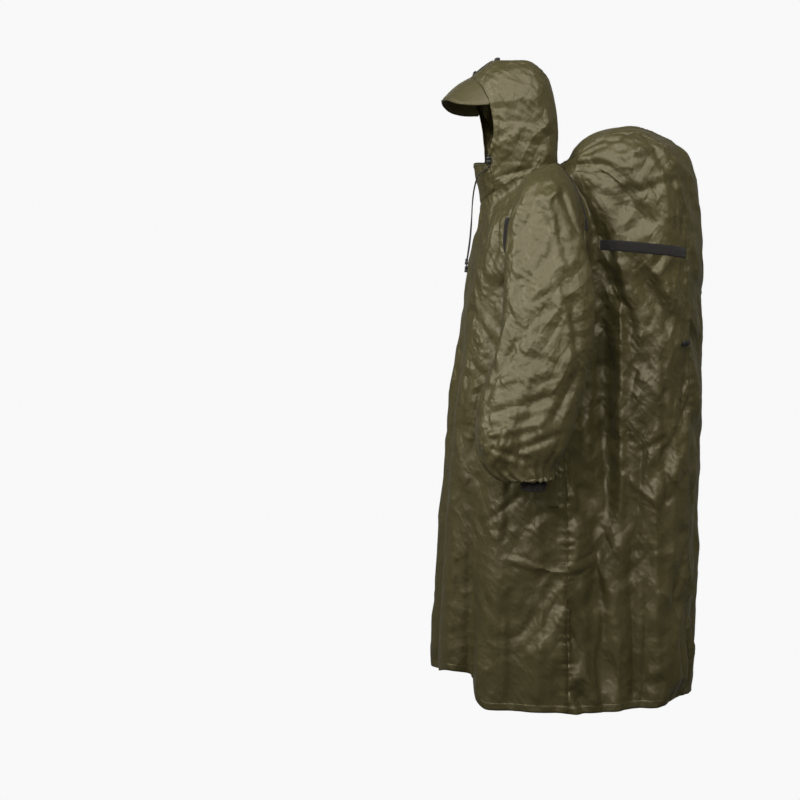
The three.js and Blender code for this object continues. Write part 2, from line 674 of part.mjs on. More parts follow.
// Places along a strip where it crosses the panel's grid lines and the diagonals of its cells.
function crossings(from, to, near, far) {
  const places = [from, to];
  for (let k = Math.floor(from); k <= Math.ceil(to); k++) {
    for (const p of [k, k + (near - Math.floor(near)), k + (far - Math.floor(near))]) {
      if (p > from + 0.04 && p < to - 0.04) places.push(p);
    }
  }
  return places.sort((a, b) => a - b).filter((p, k, all) => k === 0 || p - all[k - 1] > 1e-6);
}

// A flat strip sewn on a panel. It lies within one column of cells, and runs down the rows.
function stripDown(panel, rowFrom, rowTo, columnFrom, columnTo, thick) {
  const rows = crossings(rowFrom, rowTo, columnFrom, columnTo);
  const sheet = (lift) => rows.map((row) => [columnFrom, columnTo].map((c) => onPanel(panel, row, c, lift)));
  return wall(sheet(WEBBING_LIFT + thick), sheet(WEBBING_LIFT), false, panel.turned);
}

const panelNamed = (name) => panels.find((p) => p.name === name);

// The place in a panel's grid that is seen from the side at y and z, on the outermost layer.
function placeAt(panel, y, z) {
  let best = null;
  for (let r = 0; r < panel.grid.length - 1; r++) {
    for (let c = 0; c < panel.grid[0].length - 1; c++) {
      const a = panel.grid[r][c];
      const d = panel.grid[r + 1][c + 1];
      for (const [b, alongRow] of [[panel.grid[r][c + 1], true], [panel.grid[r + 1][c], false]]) {
        const det = (b.y - a.y) * (d.z - b.z) - (b.z - a.z) * (d.y - b.y);
        const p = ((y - a.y) * (d.z - b.z) - (z - a.z) * (d.y - b.y)) / det;
        const q = ((b.y - a.y) * (z - a.z) - (b.z - a.z) * (y - a.y)) / det;
        if (!(p >= -1e-6 && q >= -1e-6 && p <= 1 + 1e-6 && q <= p + 1e-6)) continue;
        const x = Math.abs(a.x + p * (b.x - a.x) + q * (d.x - b.x));
        if (!best || x > best.x) best = { x, row: r + (alongRow ? q : p), column: c + (alongRow ? p : q) };
      }
    }
  }
  return best;
}

// A tape that runs straight between two places seen from the side, whatever rows it crosses.
function sideTape(panel, { from, to, width, steps, lift }) {
  const across = [-0.5, -1 / 6, 1 / 6, 0.5];
  const places = [];
  for (let k = 0; k <= steps; k++) {
    const [y, z] = [mix(from[0], to[0], k / steps), mix(from[1], to[1], k / steps)];
    places.push(across.map((a) => placeAt(panel, y, z - a * width)));
  }
  const sheet = (up) => places.map((line) => line.map(({ row, column }) => onPanel(panel, row, column, up)));
  return wall(sheet(lift + WEBBING_THICK), sheet(lift), false, !panel.turned);
}

const cellWidth = (panel, row, column) => (
  panel.grid[row][column].distanceTo(panel.grid[row][column + 1]));

// Black tapes sewn beside the raglan seams and across the back's sides, and a short olive tab that
// hangs at each side seam. Widths and insets from the seam are in millimetres.
const PACK_TAPE = { from: [156, -165], to: [352, -184.5], width: 24, steps: 40, lift: 1 };
const BACK_TAPE = { inset: 2.5, width: 13, rowFrom: 1, rowTo: 6, steps: 24, lift: 1 };
const FRONT_TAPE = { inset: 3, width: 12, rowFrom: 3.9, rowTo: 6.7 };
const TAB = { inset: 14, width: 22, rowFrom: 14.95, rowTo: 16.22 };

// The column that lies a distance in from a panel's first column, measured along one row.
function columnAt(panel, row, distance) {
  let [gone, column] = [0, 0];
  for (;;) {
    const cell = onPanel(panel, row, column, 0).distanceTo(onPanel(panel, row, column + 1, 0));
    if (gone + cell >= distance) return column + (distance - gone) / cell;
    gone += cell;
    column += 1;
  }
}

// A tape of even width that follows a panel's first seam.
function seamTape(panel, { inset, width, rowFrom, rowTo, steps, lift }) {
  const places = [];
  for (let k = 0; k <= steps; k++) {
    const row = mix(rowFrom, rowTo, k / steps);
    places.push([0, 1 / 3, 2 / 3, 1].map((a) => [row, columnAt(panel, row, inset + width * a)]));
  }
  const sheet = (up) => places.map((line) => line.map(([row, column]) => onPanel(panel, row, column, up)));
  return wall(sheet(lift + WEBBING_THICK), sheet(lift), false, panel.turned);
}

function seamStrip(panel, side, { inset, width, rowFrom, rowTo }) {
  const last = panel.grid[0].length - 1;
  const cell = cellWidth(panel, Math.floor((rowFrom + rowTo) / 2), side > 0 ? last - 1 : 0);
  const [near, far] = [inset / cell, (inset + width) / cell];
  const edges = side > 0 ? [last - far, last - near] : [near, far];
  return stripDown(panel, rowFrom, rowTo, ...edges, WEBBING_THICK);
}

function addTapes() {
  for (const [name, side] of [['left', 1], ['right', -1]]) {
    addPiece(`pack_tape_${name}`, sideTape(panelNamed(`pack_side_${name}`), PACK_TAPE), BLACK_WEBBING);
    addPiece(`back_tape_${name}`, seamTape(panelNamed(`pack_side_${name}`), BACK_TAPE), BLACK_WEBBING);
    const front = panelNamed('front_panel');
    addPiece(`front_tape_${name}`, seamStrip(front, side, FRONT_TAPE), BLACK_WEBBING);
    addPiece(`side_tab_${name}`, seamStrip(front, side, TAB), OLIVE);
  }
}

// The elastic cuffs: a thick band drawn into gathers
function addCuffs() {
  const round = CUFF.gathers * CELLS.cuffPerGather;
  for (const [name, side] of [['left', 1], ['right', -1]]) {
    const sheet = (offset) => {
      const grid = [];
      for (let row = 0; row <= CELLS.cuffRows; row++) {
        const t = row / CELLS.cuffRows;
        const line = [];
        for (let i = 0; i < round; i++) {
          const angle = i / round * 2 * Math.PI;
          const gather = 1.3 * Math.cos(angle * CUFF.gathers);
          const grow = offset + gather + 1.5 * Math.sin(Math.PI * t);
          line.push(V(side * (CUFF.x + (CUFF.halfX + grow) * Math.cos(angle)),
            CUFF.y + (CUFF.halfY + grow) * Math.sin(angle), mix(CUFF.top, CUFF.bottom, t)));
        }
        grid.push(line);
      }
      return grid;
    };
    addPiece(`cuff_${name}`, wall(sheet(CUFF.thick / 2), sheet(-CUFF.thick / 2), true, side > 0), BLACK_ELASTIC);
  }
}

// A toggle that grips a cord: a barrel with a shouldered plunger, as one turned piece
function toggle() {
  const { radius, height, plungerRadius, plungerHeight } = LOCK;
  const bevel = 1.6;
  const profile = [
    [0, 0], [radius - bevel, 0], [radius, bevel], [radius, height - bevel], [radius - bevel, height],
    [plungerRadius, height], [plungerRadius, height + plungerHeight - 1],
    [plungerRadius - 1, height + plungerHeight], [0, height + plungerHeight],
  ].map(([r, y]) => new THREE.Vector2(r, y));
  return new THREE.LatheGeometry(profile, 10);
}

// Stands a toggle on a panel, its side touching the cloth and its axis along the direction given.
function addToggle(name, panel, row, column, axis) {
  const surface = onPanel(panel, row, column, 0);
  const outward = onPanel(panel, row, column, 10).sub(surface).normalize();
  const along = axis.clone().addScaledVector(outward, -axis.dot(outward)).normalize();
  const mesh = addPiece(name, toggle(), BLACK_PLASTIC);
  const basis = new THREE.Matrix4().makeBasis(along.clone().cross(outward), along, outward);
  mesh.quaternion.setFromRotationMatrix(basis);
  mesh.scale.set(1, 1, LOCK.flatness);
  mesh.position.copy(surface).addScaledVector(outward, LOCK.radius * LOCK.flatness + 0.8)
    .addScaledVector(along, -LOCK.height / 2);
  return mesh;
}

// Where the chin toggles stand on the hood's sides, and how each drawcord hangs once it has left
// its toggle
const CHIN_LOCK = { row: 0.85, column: 18.1, stub: 7, gap: 0.1 };
const DRAWCORD = {
  left: [[71, -121, -4], [72, -128, -24], [73, -132, -46], [73, -134, -70], [73, -135, -94], [74, -136, -120],
    [74, -138, -146], [75, -141, -172], [75, -145, -196], [75, -147, -212]],
  right: [[-71, -119, -4], [-71, -125, -24], [-71, -128, -46], [-72, -130, -68], [-72, -131, -90],
    [-73, -133, -114], [-73, -135, -138], [-73, -138, -162], [-74, -142, -190]],
};

const cordPath = (points) => new THREE.CatmullRomCurve3(points.map((p) => V(...p)));

function cordTube(points, diameter, steps) {
  const section = new THREE.Shape();
  for (let k = 0; k < CORD.sides; k++) {
    const angle = k / CORD.sides * 2 * Math.PI;
    const [x, y] = [Math.cos(angle) * diameter / 2, Math.sin(angle) * diameter / 2];
    if (k === 0) section.moveTo(x, y);
    else section.lineTo(x, y);
  }
  section.closePath();
  return new THREE.ExtrudeGeometry(section, { steps, extrudePath: cordPath(points), curveSegments: 1 });
}

function addCords() {
  for (const name of ['left', 'right']) {
    const lock = addToggle(`chin_toggle_${name}`, panelNamed(`hood_side_${name}`), CHIN_LOCK.row,
      CHIN_LOCK.column, V(0, 0, 1));
    const along = V(0, 1, 0).applyQuaternion(lock.quaternion);
    const below = (distance) => lock.position.clone().addScaledVector(along, -distance).toArray();
    const points = [below(CHIN_LOCK.gap), below(CHIN_LOCK.gap + CHIN_LOCK.stub), ...DRAWCORD[name]];
    addPiece(`drawcord_${name}`, cordTube(points, CORD.diameter, 28), BLACK_WEBBING);
    const path = cordPath(points);
    const down = path.getTangent(1);
    const end = new THREE.CylinderGeometry(CORD.endRadius, CORD.endRadius, CORD.endLength, 10);
    const cap = addPiece(`cord_end_${name}`, end, BLACK_PLASTIC);
    cap.quaternion.setFromUnitVectors(V(0, 1, 0), down);
    cap.position.copy(path.getPoint(1)).addScaledVector(down, CHIN_LOCK.gap + CORD.endLength / 2);
  }
}

// The cord that draws the hood in over the crown: a toggle near the top, and a loop down to the visor
const CROWN_CORD = { diameter: 2.6, halfGap: 3.2, topRow: 1.42, footRow: 0.3, steps: 20 };

function addCrownCord() {
  const crown = panelNamed('hood_crown');
  const middle = CELLS.packBackHalf;
  const lift = CROWN_CORD.diameter / 2 + 0.9;
  const toColumn = (x, row) => {
    const seamX = crown.grid[Math.round(row)][2 * middle].x;
    return middle + x / seamX * middle;
  };
  const points = [];
  for (let k = 0; k <= 6; k++) {
    const row = mix(CROWN_CORD.topRow, CROWN_CORD.footRow, k / 6);
    points.push(onPanel(crown, row, toColumn(-CROWN_CORD.halfGap, row), lift).toArray());
  }
  for (let k = 6; k >= 0; k--) {
    const row = mix(CROWN_CORD.topRow, CROWN_CORD.footRow, k / 6);
    points.push(onPanel(crown, row, toColumn(CROWN_CORD.halfGap, row), lift).toArray());
  }
  addPiece('crown_cord', cordTube(points, CROWN_CORD.diameter, CROWN_CORD.steps), BLACK_WEBBING);
  addToggle('crown_toggle', crown, 1.72, middle, V(1, 0, 0));
}

// The toggle of the back's drawstring, beside the rear corner seam
const PACK_TOGGLE = { y: 346, z: -390 };

function addPackToggles() {
  for (const name of ['left', 'right']) {
    const flank = panelNamed(`pack_side_${name}`);
    const { row, column } = placeAt(flank, PACK_TOGGLE.y, PACK_TOGGLE.z);
    addToggle(`pack_toggle_${name}`, flank, row, column, V(0, 1, 0));
  }
}

addClothPanels();
addTapes();
addCuffs();
addCords();
addCrownCord();
addPackToggles();

export default poncho;
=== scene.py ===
# %% [markdown]
# # A hooded rain poncho
# A long raincoat of thin coated nylon. Its back is cut wide and stands out behind, it has raglan
# sleeves with elastic cuffs, and its hood has a stiff visor. Nothing fills it: it is one thin skin.
# The frame already holds every cut panel as a plain wall. This lesson makes the cloth again, finer,
# on the same form, and then adds what a sewing room adds: creases, seams, stitches, webbing, cord.

import json
import math

import bpy
import numpy as np
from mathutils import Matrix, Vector, noise
from mathutils.geometry import delaunay_2d_cdt
from mathutils.kdtree import KDTree

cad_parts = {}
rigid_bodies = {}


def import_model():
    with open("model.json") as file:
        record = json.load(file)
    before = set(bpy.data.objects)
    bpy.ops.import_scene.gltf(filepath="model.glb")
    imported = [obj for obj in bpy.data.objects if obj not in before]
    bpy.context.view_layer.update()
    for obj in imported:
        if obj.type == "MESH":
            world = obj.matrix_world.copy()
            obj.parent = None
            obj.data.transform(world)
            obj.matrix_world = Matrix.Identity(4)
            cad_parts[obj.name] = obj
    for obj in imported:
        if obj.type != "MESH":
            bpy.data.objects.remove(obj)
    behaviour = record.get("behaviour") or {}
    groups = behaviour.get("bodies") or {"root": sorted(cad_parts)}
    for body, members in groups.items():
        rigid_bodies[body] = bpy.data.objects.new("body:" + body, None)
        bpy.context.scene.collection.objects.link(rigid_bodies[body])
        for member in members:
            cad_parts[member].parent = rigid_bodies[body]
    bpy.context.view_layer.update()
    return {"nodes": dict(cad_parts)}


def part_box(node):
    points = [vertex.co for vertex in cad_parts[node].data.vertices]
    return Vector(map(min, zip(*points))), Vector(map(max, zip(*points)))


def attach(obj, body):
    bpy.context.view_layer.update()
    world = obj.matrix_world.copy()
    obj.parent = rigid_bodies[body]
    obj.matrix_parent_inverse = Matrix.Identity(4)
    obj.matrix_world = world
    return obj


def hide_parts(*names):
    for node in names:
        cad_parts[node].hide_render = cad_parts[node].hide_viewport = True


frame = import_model()
print("nodes in the frame:", len(frame["nodes"]))

# %% [markdown]
# ## The camera
# The garment is seen from its left side and a little from above its hem. The camera stands about
# 3.4 metres away, so the near sleeve looks slightly larger than the far one.

# %% Set up the camera
CAMERA_AT = (3.3917, -0.2372, -0.307)
CAMERA_YAW, CAMERA_PITCH = math.radians(91.12), math.radians(-3.7635)
SENSOR_WIDTH, LENS = 36, 63.77
camera = bpy.data.objects.new("camera", bpy.data.cameras.new("camera"))
bpy.context.scene.collection.objects.link(camera)
look = Vector((-math.sin(CAMERA_YAW) * math.cos(CAMERA_PITCH),
               math.cos(CAMERA_YAW) * math.cos(CAMERA_PITCH), math.sin(CAMERA_PITCH)))
camera.location = CAMERA_AT
camera.rotation_euler = look.to_track_quat("-Z", "Y").to_euler()
camera.data.sensor_width, camera.data.lens = SENSOR_WIDTH, LENS
bpy.context.scene.camera = camera
print("camera lens in mm:", camera.data.lens)

# %% [markdown]
# ## Materials
# Every finish is made of nodes and needs no picture. Coated nylon is a satin: a fine weave under a
# thin coating, so it has a broad soft highlight that breaks up over small crinkles. The crinkles
# that are too fine for the mesh are bump, and the larger ones are real geometry further down.

# %% Helpers for making a material
MM = 0.001


class Finish:
    """A new material, with short calls for adding nodes and links to it."""

    def __init__(self, name, colour, roughness, sheen=0.0):
        self.material = bpy.data.materials.new(name)
        self.material.use_nodes = True
        self.tree = self.material.node_tree
        self.shader = self.tree.nodes["Principled BSDF"]
        self.shader.inputs["Base Color"].default_value = (*colour, 1)
        self.shader.inputs["Roughness"].default_value = roughness
        self.shader.inputs["Sheen Weight"].default_value = sheen
        self.place = self.add("ShaderNodeTexCoord")

    def add(self, kind, values=None, **settings):
        node = self.tree.nodes.new(kind)
        for key, value in settings.items():
            setattr(node, key, value)
        for key, value in (values or {}).items():
            node.inputs[key].default_value = value
        return node

    def link(self, source, target):
        self.tree.links.new(source, target)

    def stretched(self, scale, space="Object"):
        node = self.add("ShaderNodeMapping", {"Scale": scale})
        self.link(self.place.outputs[space], node.inputs["Vector"])
        return node.outputs[0]

    def noise(self, vector, scale, detail=3.0, rough=0.5, distortion=0.0):
        values = {"Scale": scale, "Detail": detail, "Roughness": rough, "Distortion": distortion}
        node = self.add("ShaderNodeTexNoise", values)
        self.link(vector, node.inputs["Vector"])
        return node.outputs["Fac"]

    def math(self, operation, *values):
        """One operation on up to three values, each a number or another node's output."""
        node = self.add("ShaderNodeMath", operation=operation)
        for socket, value in zip(node.inputs, values):
            if isinstance(value, (int, float)):
                socket.default_value = value
            else:
                self.link(value, socket)
        return node.outputs[0]

    def vector(self, operation, value):
        """The object's own coordinates and one fixed vector, put through an operation."""
        node = self.add("ShaderNodeVectorMath", {1: value}, operation=operation)
        self.link(self.place.outputs["Object"], node.inputs[0])
        return node.outputs["Value" if operation == "DOT_PRODUCT" else "Vector"]

    def between(self, factor, low, high, first=0.0, last=1.0, kind="LINEAR"):
        """A value that goes from low to high while the factor goes from first to last."""
        values = {"From Min": first, "From Max": last, "To Min": low, "To Max": high}
        node = self.add("ShaderNodeMapRange", values, interpolation_type=kind)
        self.link(factor, node.inputs["Value"])
        return node.outputs[0]

    def crest(self, scale, size, distortion):
        """Sharp valleys along winding lines, where a smooth noise crosses its middle."""
        height = self.noise(self.stretched(scale), size, 2, 0.5, distortion)
        return self.math("ABSOLUTE", self.math("SUBTRACT", height, 0.5))

    def straight_creases(self, kinds):
        """Rows of sharp folds. Each kind runs its own way, wanders, and shows in patches."""
        total = 0.0
        for way, apart, slope, seed in kinds:
            size = math.sqrt(sum(w * w for w in way)) * apart * MM
            along = self.vector("DOT_PRODUCT", [w / size for w in way])
            moved = self.vector("ADD", (seed, seed, seed))
            phase = self.math("MULTIPLY_ADD", self.noise(moved, 8, 1), 1.5, along)
            patches = self.noise(moved, 360 / apart, 2)
            shown = self.between(patches, 0.0, 1.0, 0.49, 0.62, "SMOOTHSTEP")
            fold = self.math("MULTIPLY", self.math("PINGPONG", phase, 0.5), shown)
            total = self.math("MULTIPLY_ADD", fold, slope * apart * MM, total)
        return total

    def dents(self, scale, size, detail, rough):
        """Flat-sided dents, large ones with smaller ones in them."""
        values = {"Scale": size, "Detail": detail, "Roughness": rough, "Lacunarity": 2.3}
        node = self.add("ShaderNodeTexVoronoi", values, feature="F1")
        self.link(self.stretched(scale), node.inputs["Vector"])
        return node.outputs["Distance"]

    def shade(self, factor, colour, stops):
        """Goes from a darker to a lighter shade of one colour. A stop is where, and how light."""
        node = self.add("ShaderNodeValToRGB")
        for element, (at, light) in zip(node.color_ramp.elements, stops):
            element.position, element.color = at, (*[c * light for c in colour], 1)
        self.link(factor, node.inputs["Fac"])
        self.link(node.outputs["Color"], self.shader.inputs["Base Color"])

    def bump(self, height, distance, strength=1.0, under=None):
        """Bump on top of other bump. Its strength is a number or another node's output."""
        node = self.add("ShaderNodeBump", {"Distance": distance})
        if isinstance(strength, (int, float)):
            node.inputs["Strength"].default_value = strength
        else:
            self.link(strength, node.inputs["Strength"])
        self.link(height, node.inputs["Height"])
        if under is not None:
            self.link(under, node.inputs["Normal"])
        self.link(node.outputs[0], self.shader.inputs["Normal"])
        return node.outputs[0]


# %% Satin coated nylon, for all the panels
# Each kind of fine crease: the way across it, mm from one to the next, how steep, and its place
CREASE_KINDS = [((0.7, 0.9, 0.22), 58, 0.12, 0.0), ((-0.5, -0.8, 0.55), 50, 0.16, 1.7),
                ((0.5, 0.75, 0.6), 38, 0.14, 3.1), ((0.25, -0.3, 0.92), 40, 0.10, 4.6),
                ((0.8, 0.9, -0.1), 22, 0.12, 6.2), ((-0.35, 0.6, 0.7), 17, 0.12, 7.9),
                ((0.6, 0.5, 0.5), 12, 0.12, 9.3)]
SATIN = {"Sheen Roughness": 0.4, "Specular IOR Level": 0.85,
         "Specular Tint": (1.0, 0.91, 0.68, 1)}
EVENLY = (1, 1, 1)
# Heights in metres between which the fine creases fade out downwards, and the share that stays
SKIRT_TOP, SKIRT_LOW, SKIRT_FINE = -0.5, -0.95, 0.6
DENT_DEEP, CREST_DEEP, GRAIN_DEEP, WEAVE_DEEP = 1.9 * MM, 3.2 * MM, 0.5 * MM, 0.08 * MM


def make_nylon(name, colour, roughness, crinkle=1.0):
    """Coated nylon. The skirt hangs smoother than the rest, so fine creases fade out there."""
    nylon = Finish(name, colour, roughness, sheen=0.05)
    for socket, value in SATIN.items():
        nylon.shader.inputs[socket].default_value = value
    nylon.shade(nylon.noise(nylon.stretched((1, 1, 0.45)), 7, 4, 0.55), colour,
                [(0.3, 0.86), (0.7, 1.14)])
    rub = nylon.noise(nylon.stretched(EVENLY), 22, 3, 0.6)
    nylon.link(nylon.between(rub, roughness - 0.06, roughness + 0.08),
               nylon.shader.inputs["Roughness"])
    where = nylon.add("ShaderNodeSeparateXYZ")
    nylon.link(nylon.place.outputs["Object"], where.inputs[0])
    fade = nylon.between(where.outputs["Z"], SKIRT_FINE * crinkle, crinkle, SKIRT_LOW, SKIRT_TOP,
                         "SMOOTHSTEP")
    creased = nylon.bump(nylon.straight_creases(CREASE_KINDS), 1.0, fade)
    dented = nylon.bump(nylon.dents((1, 1, 0.5), 15, 3.0, 0.55), DENT_DEEP,
                        nylon.math("MULTIPLY", fade, 0.75), creased)
    crested = nylon.bump(nylon.crest((1, 1, 0.6), 40, 0.2), CREST_DEEP,
                         nylon.math("MULTIPLY", fade, 0.55), dented)
    grained = nylon.bump(nylon.noise(nylon.stretched(EVENLY), 210, 2), GRAIN_DEEP, 0.5, crested)
    nylon.bump(nylon.noise(nylon.stretched(EVENLY), 1500, 1), WEAVE_DEEP, 0.5, grained)
    return nylon.material


NYLON = make_nylon("coated_nylon", (0.054, 0.0457, 0.015), 0.45)
VISOR_NYLON = make_nylon("visor_nylon", (0.06, 0.051, 0.02), 0.5, 0.2)


# %% Webbing, elastic, cord, thread and plastic
def make_woven(name, colour, rib, depth):
    """Yarns that run in ribs along the cloth's own length, which is V in its UV map."""
    woven = Finish(name, colour, 0.78, sheen=0.08)
    woven.shader.inputs["Specular IOR Level"].default_value = 0.25
    wave = woven.add("ShaderNodeTexWave", {"Scale": rib, "Distortion": 1.2, "Detail": 1.0},
                     bands_direction="Y")
    woven.link(woven.stretched(EVENLY, "UV"), wave.inputs["Vector"])
    woven.shade(wave.outputs["Fac"], colour, [(0.2, 0.6), (0.9, 1.5)])
    ribbed = woven.bump(wave.outputs["Fac"], depth, 0.9)
    woven.bump(woven.noise(woven.stretched(EVENLY), 1800, 2), 0.12 * MM, 0.6, ribbed)
    return woven.material


def make_plain(name, colour, roughness, grain, depth, shine=0.5):
    """A finish with fine even spots, raised by a depth."""
    plain = Finish(name, colour, roughness)
    spots = plain.noise(plain.stretched(EVENLY), grain, 3)
    plain.shade(spots, colour, [(0.3, 0.75), (0.7, 1.3)])
    plain.bump(spots, depth, 0.7)
    plain.shader.inputs["Specular IOR Level"].default_value = shine
    return plain.material


WEBBING = make_woven("black_webbing", (0.02, 0.0175, 0.0155), 260, 0.35 * MM)
ELASTIC = make_woven("black_elastic", (0.024, 0.022, 0.019), 190, 0.4 * MM)
BRAID = make_plain("black_braid", (0.02, 0.019, 0.018), 0.7, 900, 0.25 * MM)
PLASTIC = make_plain("black_plastic", (0.014, 0.014, 0.014), 0.36, 700, 0.06 * MM)
THREAD = make_plain("olive_thread", (0.05, 0.043, 0.02), 1.0, 1200, 0.05 * MM, 0.0)
print("materials:", len(bpy.data.materials))

# %% [markdown]
# ## The cut of the garment
# A pattern cutter draws seams first and lets the cloth follow. The same is done here: seams and
# profiles are smooth curves through a few measured places, in millimetres, and each panel is a grid
# of points between its seams. Neighbouring grids share their edges, so they weld into one skin.

# %% Curves through measured places
class Curve:
    """A smooth curve over its first column that never swings past its points."""

    def __init__(self, at, values):
        self.at = np.asarray(at, float)
        self.values = np.asarray(values, float).reshape(len(self.at), -1)
        slope = np.diff(self.values, axis=0) / np.diff(self.at)[:, None]
        inner = slope[:-1] * slope[1:]
        total = np.where(slope[:-1] + slope[1:] == 0, 1, slope[:-1] + slope[1:])
        middle = np.where(inner <= 0, 0, 2 * inner / total)
        self.tangent = np.vstack([slope[:1], middle, slope[-1:]])

    def __call__(self, t):
        t = np.asarray(t, float)
        k = np.clip(np.searchsorted(self.at, t, side="left") - 1, 0, len(self.at) - 2)
        h = (self.at[k + 1] - self.at[k])[..., None]
        u = np.clip((t - self.at[k])[..., None] / h, 0, 1)
        u2, u3 = u * u, u * u * u
        return ((2 * u3 - 3 * u2 + 1) * self.values[k] + (u3 - 2 * u2 + u) * h * self.tangent[k]
                + (3 * u2 - 2 * u3) * self.values[k + 1] + (u3 - u2) * h * self.tangent[k + 1])


def table(rows):
    """A table whose first column is where, and the others are what the curve passes through."""
    rows = np.asarray(rows, float)
    return Curve(rows[:, 0], rows[:, 1:])


def mix(a, b, t):
    return a + (b - a) * t


def smooth(t):
    """0 below 0, 1 above 1, and a soft rise between."""
    c = np.clip(t, 0, 1)
    return c * c * (3 - 2 * c)


def unit(ways):
    """The same directions, one long each."""
    return ways / np.maximum(np.linalg.norm(ways, axis=-1, keepdims=True), 1e-9)


def gone(line):
    """The distance along a line from its start to each of its points."""
    return np.concatenate([[0], np.cumsum(np.linalg.norm(np.diff(line, axis=0), axis=1))])


def each_side(places):
    """Multipliers that carry points made for the left side to the places' own sides."""
    return np.array([(-1 if place < 0 else 1, 1, 1) for place in places])


# %% Seams and profiles
UNDERARM = [167, 30, -265]
SIDE_HEM_Z, BODY_AXIS_Y = -1226, 90
FRONT_PROFILE = table([
    (-1230, -224), (-1113, -222), (-1015, -216), (-869, -207), (-723, -195), (-614, -188),
    (-506, -179), (-398, -165), (-291, -153), (-220, -141), (-148, -125), (-113, -116),
    (-78, -112), (-49, -113)])
NECK_FRONT = Curve([0, 0.3, 0.583, 0.8, 1],
                   [(0, -112, -62), (46, -105, -54), (78, -82, -38), (95, -46, -22), (100, -8, -8)])
NECK_SIDE = Curve([0, 0.5, 1], [(100, -8, -8), (101, 25, 9), (88, 58, 24)])
FRONT_RAGLAN = Curve([0, 0.2, 0.4, 0.58, 0.73, 0.87, 1],
                     [(100, -8, -8), (134, -28, -50), (149, -48, -104), (156, -53, -157),
                      (162, -40, -203), (167, -9, -243), UNDERARM])
BACK_RAGLAN = Curve([0, 0.17, 0.34, 0.52, 0.7, 0.86, 1],
                    [(88, 58, 24), (116, 89, -14), (138, 107, -57), (153, 118, -112),
                     (161, 116, -172), (165, 90, -228), UNDERARM])
SIDE_SEAM = Curve([0, 0.13, 0.26, 0.4, 0.6, 0.8, 1],
                  [UNDERARM, (173, 48, -389), (184, 64, -513), (198, 74, -647), (214, 79, -839),
                   (227, 80, -1033), (236, 81, SIDE_HEM_Z)])
HEM = table([(0, -1176, -1176), (0.2, -1164, -1175), (0.34, -1153, -1181), (0.46, -1161, -1191),
             (0.56, -1205, -1206), (0.66, -1224, -1218), (1, SIDE_HEM_Z, SIDE_HEM_Z)])
FRONT_SIDE = table([(0, -8), (4, -48), (8, -31), (10, -6), (13, 28), (16, 58), (22, 81)])
# Row, then x, y, z of the fold, the flank and the rear corner, and y, z of the middle of the back
BACK = table([
    (0, 76, 62, 28, 60, 64, 29, 36, 66, 28, 66, 28), (1, 90, 73, 6, 76, 74, 13, 46, 74, 23, 77, 28),
    (2, 104, 87, -8, 100, 98, 10, 74, 96, 31, 91, 39),
    (3.2, 114, 104, -32, 125, 124, 16, 93, 121, 58, 116, 73),
    (4.6, 121, 125, -70, 145, 168, 16, 106, 170, 85, 168, 101),
    (6, 124, 141, -112, 158, 226, -4, 113, 232, 90, 236, 111),
    (7.4, 122, 150, -158, 166, 272, -52, 117, 294, 60, 322, 88),
    (8.6, 119, 154, -206, 169, 288, -114, 121, 330, 12, 374, 52),
    (10, 118, 157, -256, 170, 292, -194, 124, 349, -76, 397, -34),
    (12, 116, 161, -415, 172, 290, -375, 127, 361, -300, 414, -280),
    (14, 122, 166, -575, 176, 286, -549, 129, 366, -493, 415, -480),
    (16, 142, 167, -735, 182, 284, -718, 130, 367, -682, 411, -670),
    (18, 172, 164, -895, 189, 282, -888, 132, 366, -870, 411, -862),
    (20, 200, 169, -1060, 197, 281, -1054, 134, 366, -1047, 408, -1040),
    (22, 219, 182, -1225, 205, 280, -1219, 137, 361, -1207, 394, -1206)])
RIDGE = np.array([0.82, 0.34, 0.36])
BACK_COLUMN_AT = [0, 2.6, 4.4, 7.2, 10, 14, 18]
# Ring, then x and z of the outer line and of the inner line, and the reach forward and back
SLEEVE = table([
    (0, 101, 10, 167, -265, -57, 118), (1, 131, 10, 173, -279, -60, 112),
    (2, 163, -4, 176, -298, -62, 109), (3, 193, -27, 177, -320, -63, 110),
    (4, 213, -60, 178, -346, -64, 116), (5, 231, -120, 180, -377, -66, 126),
    (6, 252, -204, 184, -414, -70, 136), (7, 274, -298, 189, -456, -77, 132),
    (8, 296, -396, 194, -506, -98, 120), (9, 316, -486, 201, -557, -124, 100),
    (10, 333, -562, 209, -603, -133, 84), (11, 344, -622, 219, -640, -128, 62),
    (12, 340, -662, 234, -668, -108, 42), (13, 340, -685, 241, -686, -70, 38),
    (14, 330, -671, 250, -671, -33, 25)])
SLEEVE_SQUARENESS, NECK_HALF_ANGLE = 0.88, 0.41
# Face opening (0) to neck seam (1), then x, y, z of the crown seam, upper side, temple, jaw and
# chin seam, and y, z of the middle of the crown
HOOD = table([
    (0, 60, -129, 214, 82, -117, 190, 97, -105, 157, 96, -95, 90, 76, -101, 23, -143, 227),
    (0.2, 60, -76, 261, 88, -70, 232, 105, -60, 170, 104, -66, 85, 80, -97, 15, -78, 270),
    (0.4, 60, -18, 262, 90, -16, 236, 111, -18, 163, 109, -37, 72, 83, -93, 2, -18, 269),
    (0.6, 60, 33, 227, 90, 29, 198, 109, 20, 130, 108, -8, 50, 84, -89, -11, 38, 231),
    (0.8, 54, 59, 130, 78, 55, 112, 99, 42, 78, 104, 14, 24, 83, -85, -25, 64, 128),
    (1, 36, 66, 28, 64, 64, 29, 84, 59, 24, 100, -8, -8, 78, -82, -38, 66, 28)])
HOOD_COLUMN_AT = [0, 3, 8, 14, 19]
CHIN = table([(0, -128, 29), (0.3, -127, 5), (0.6, -119, -22), (1, -112, -62)])
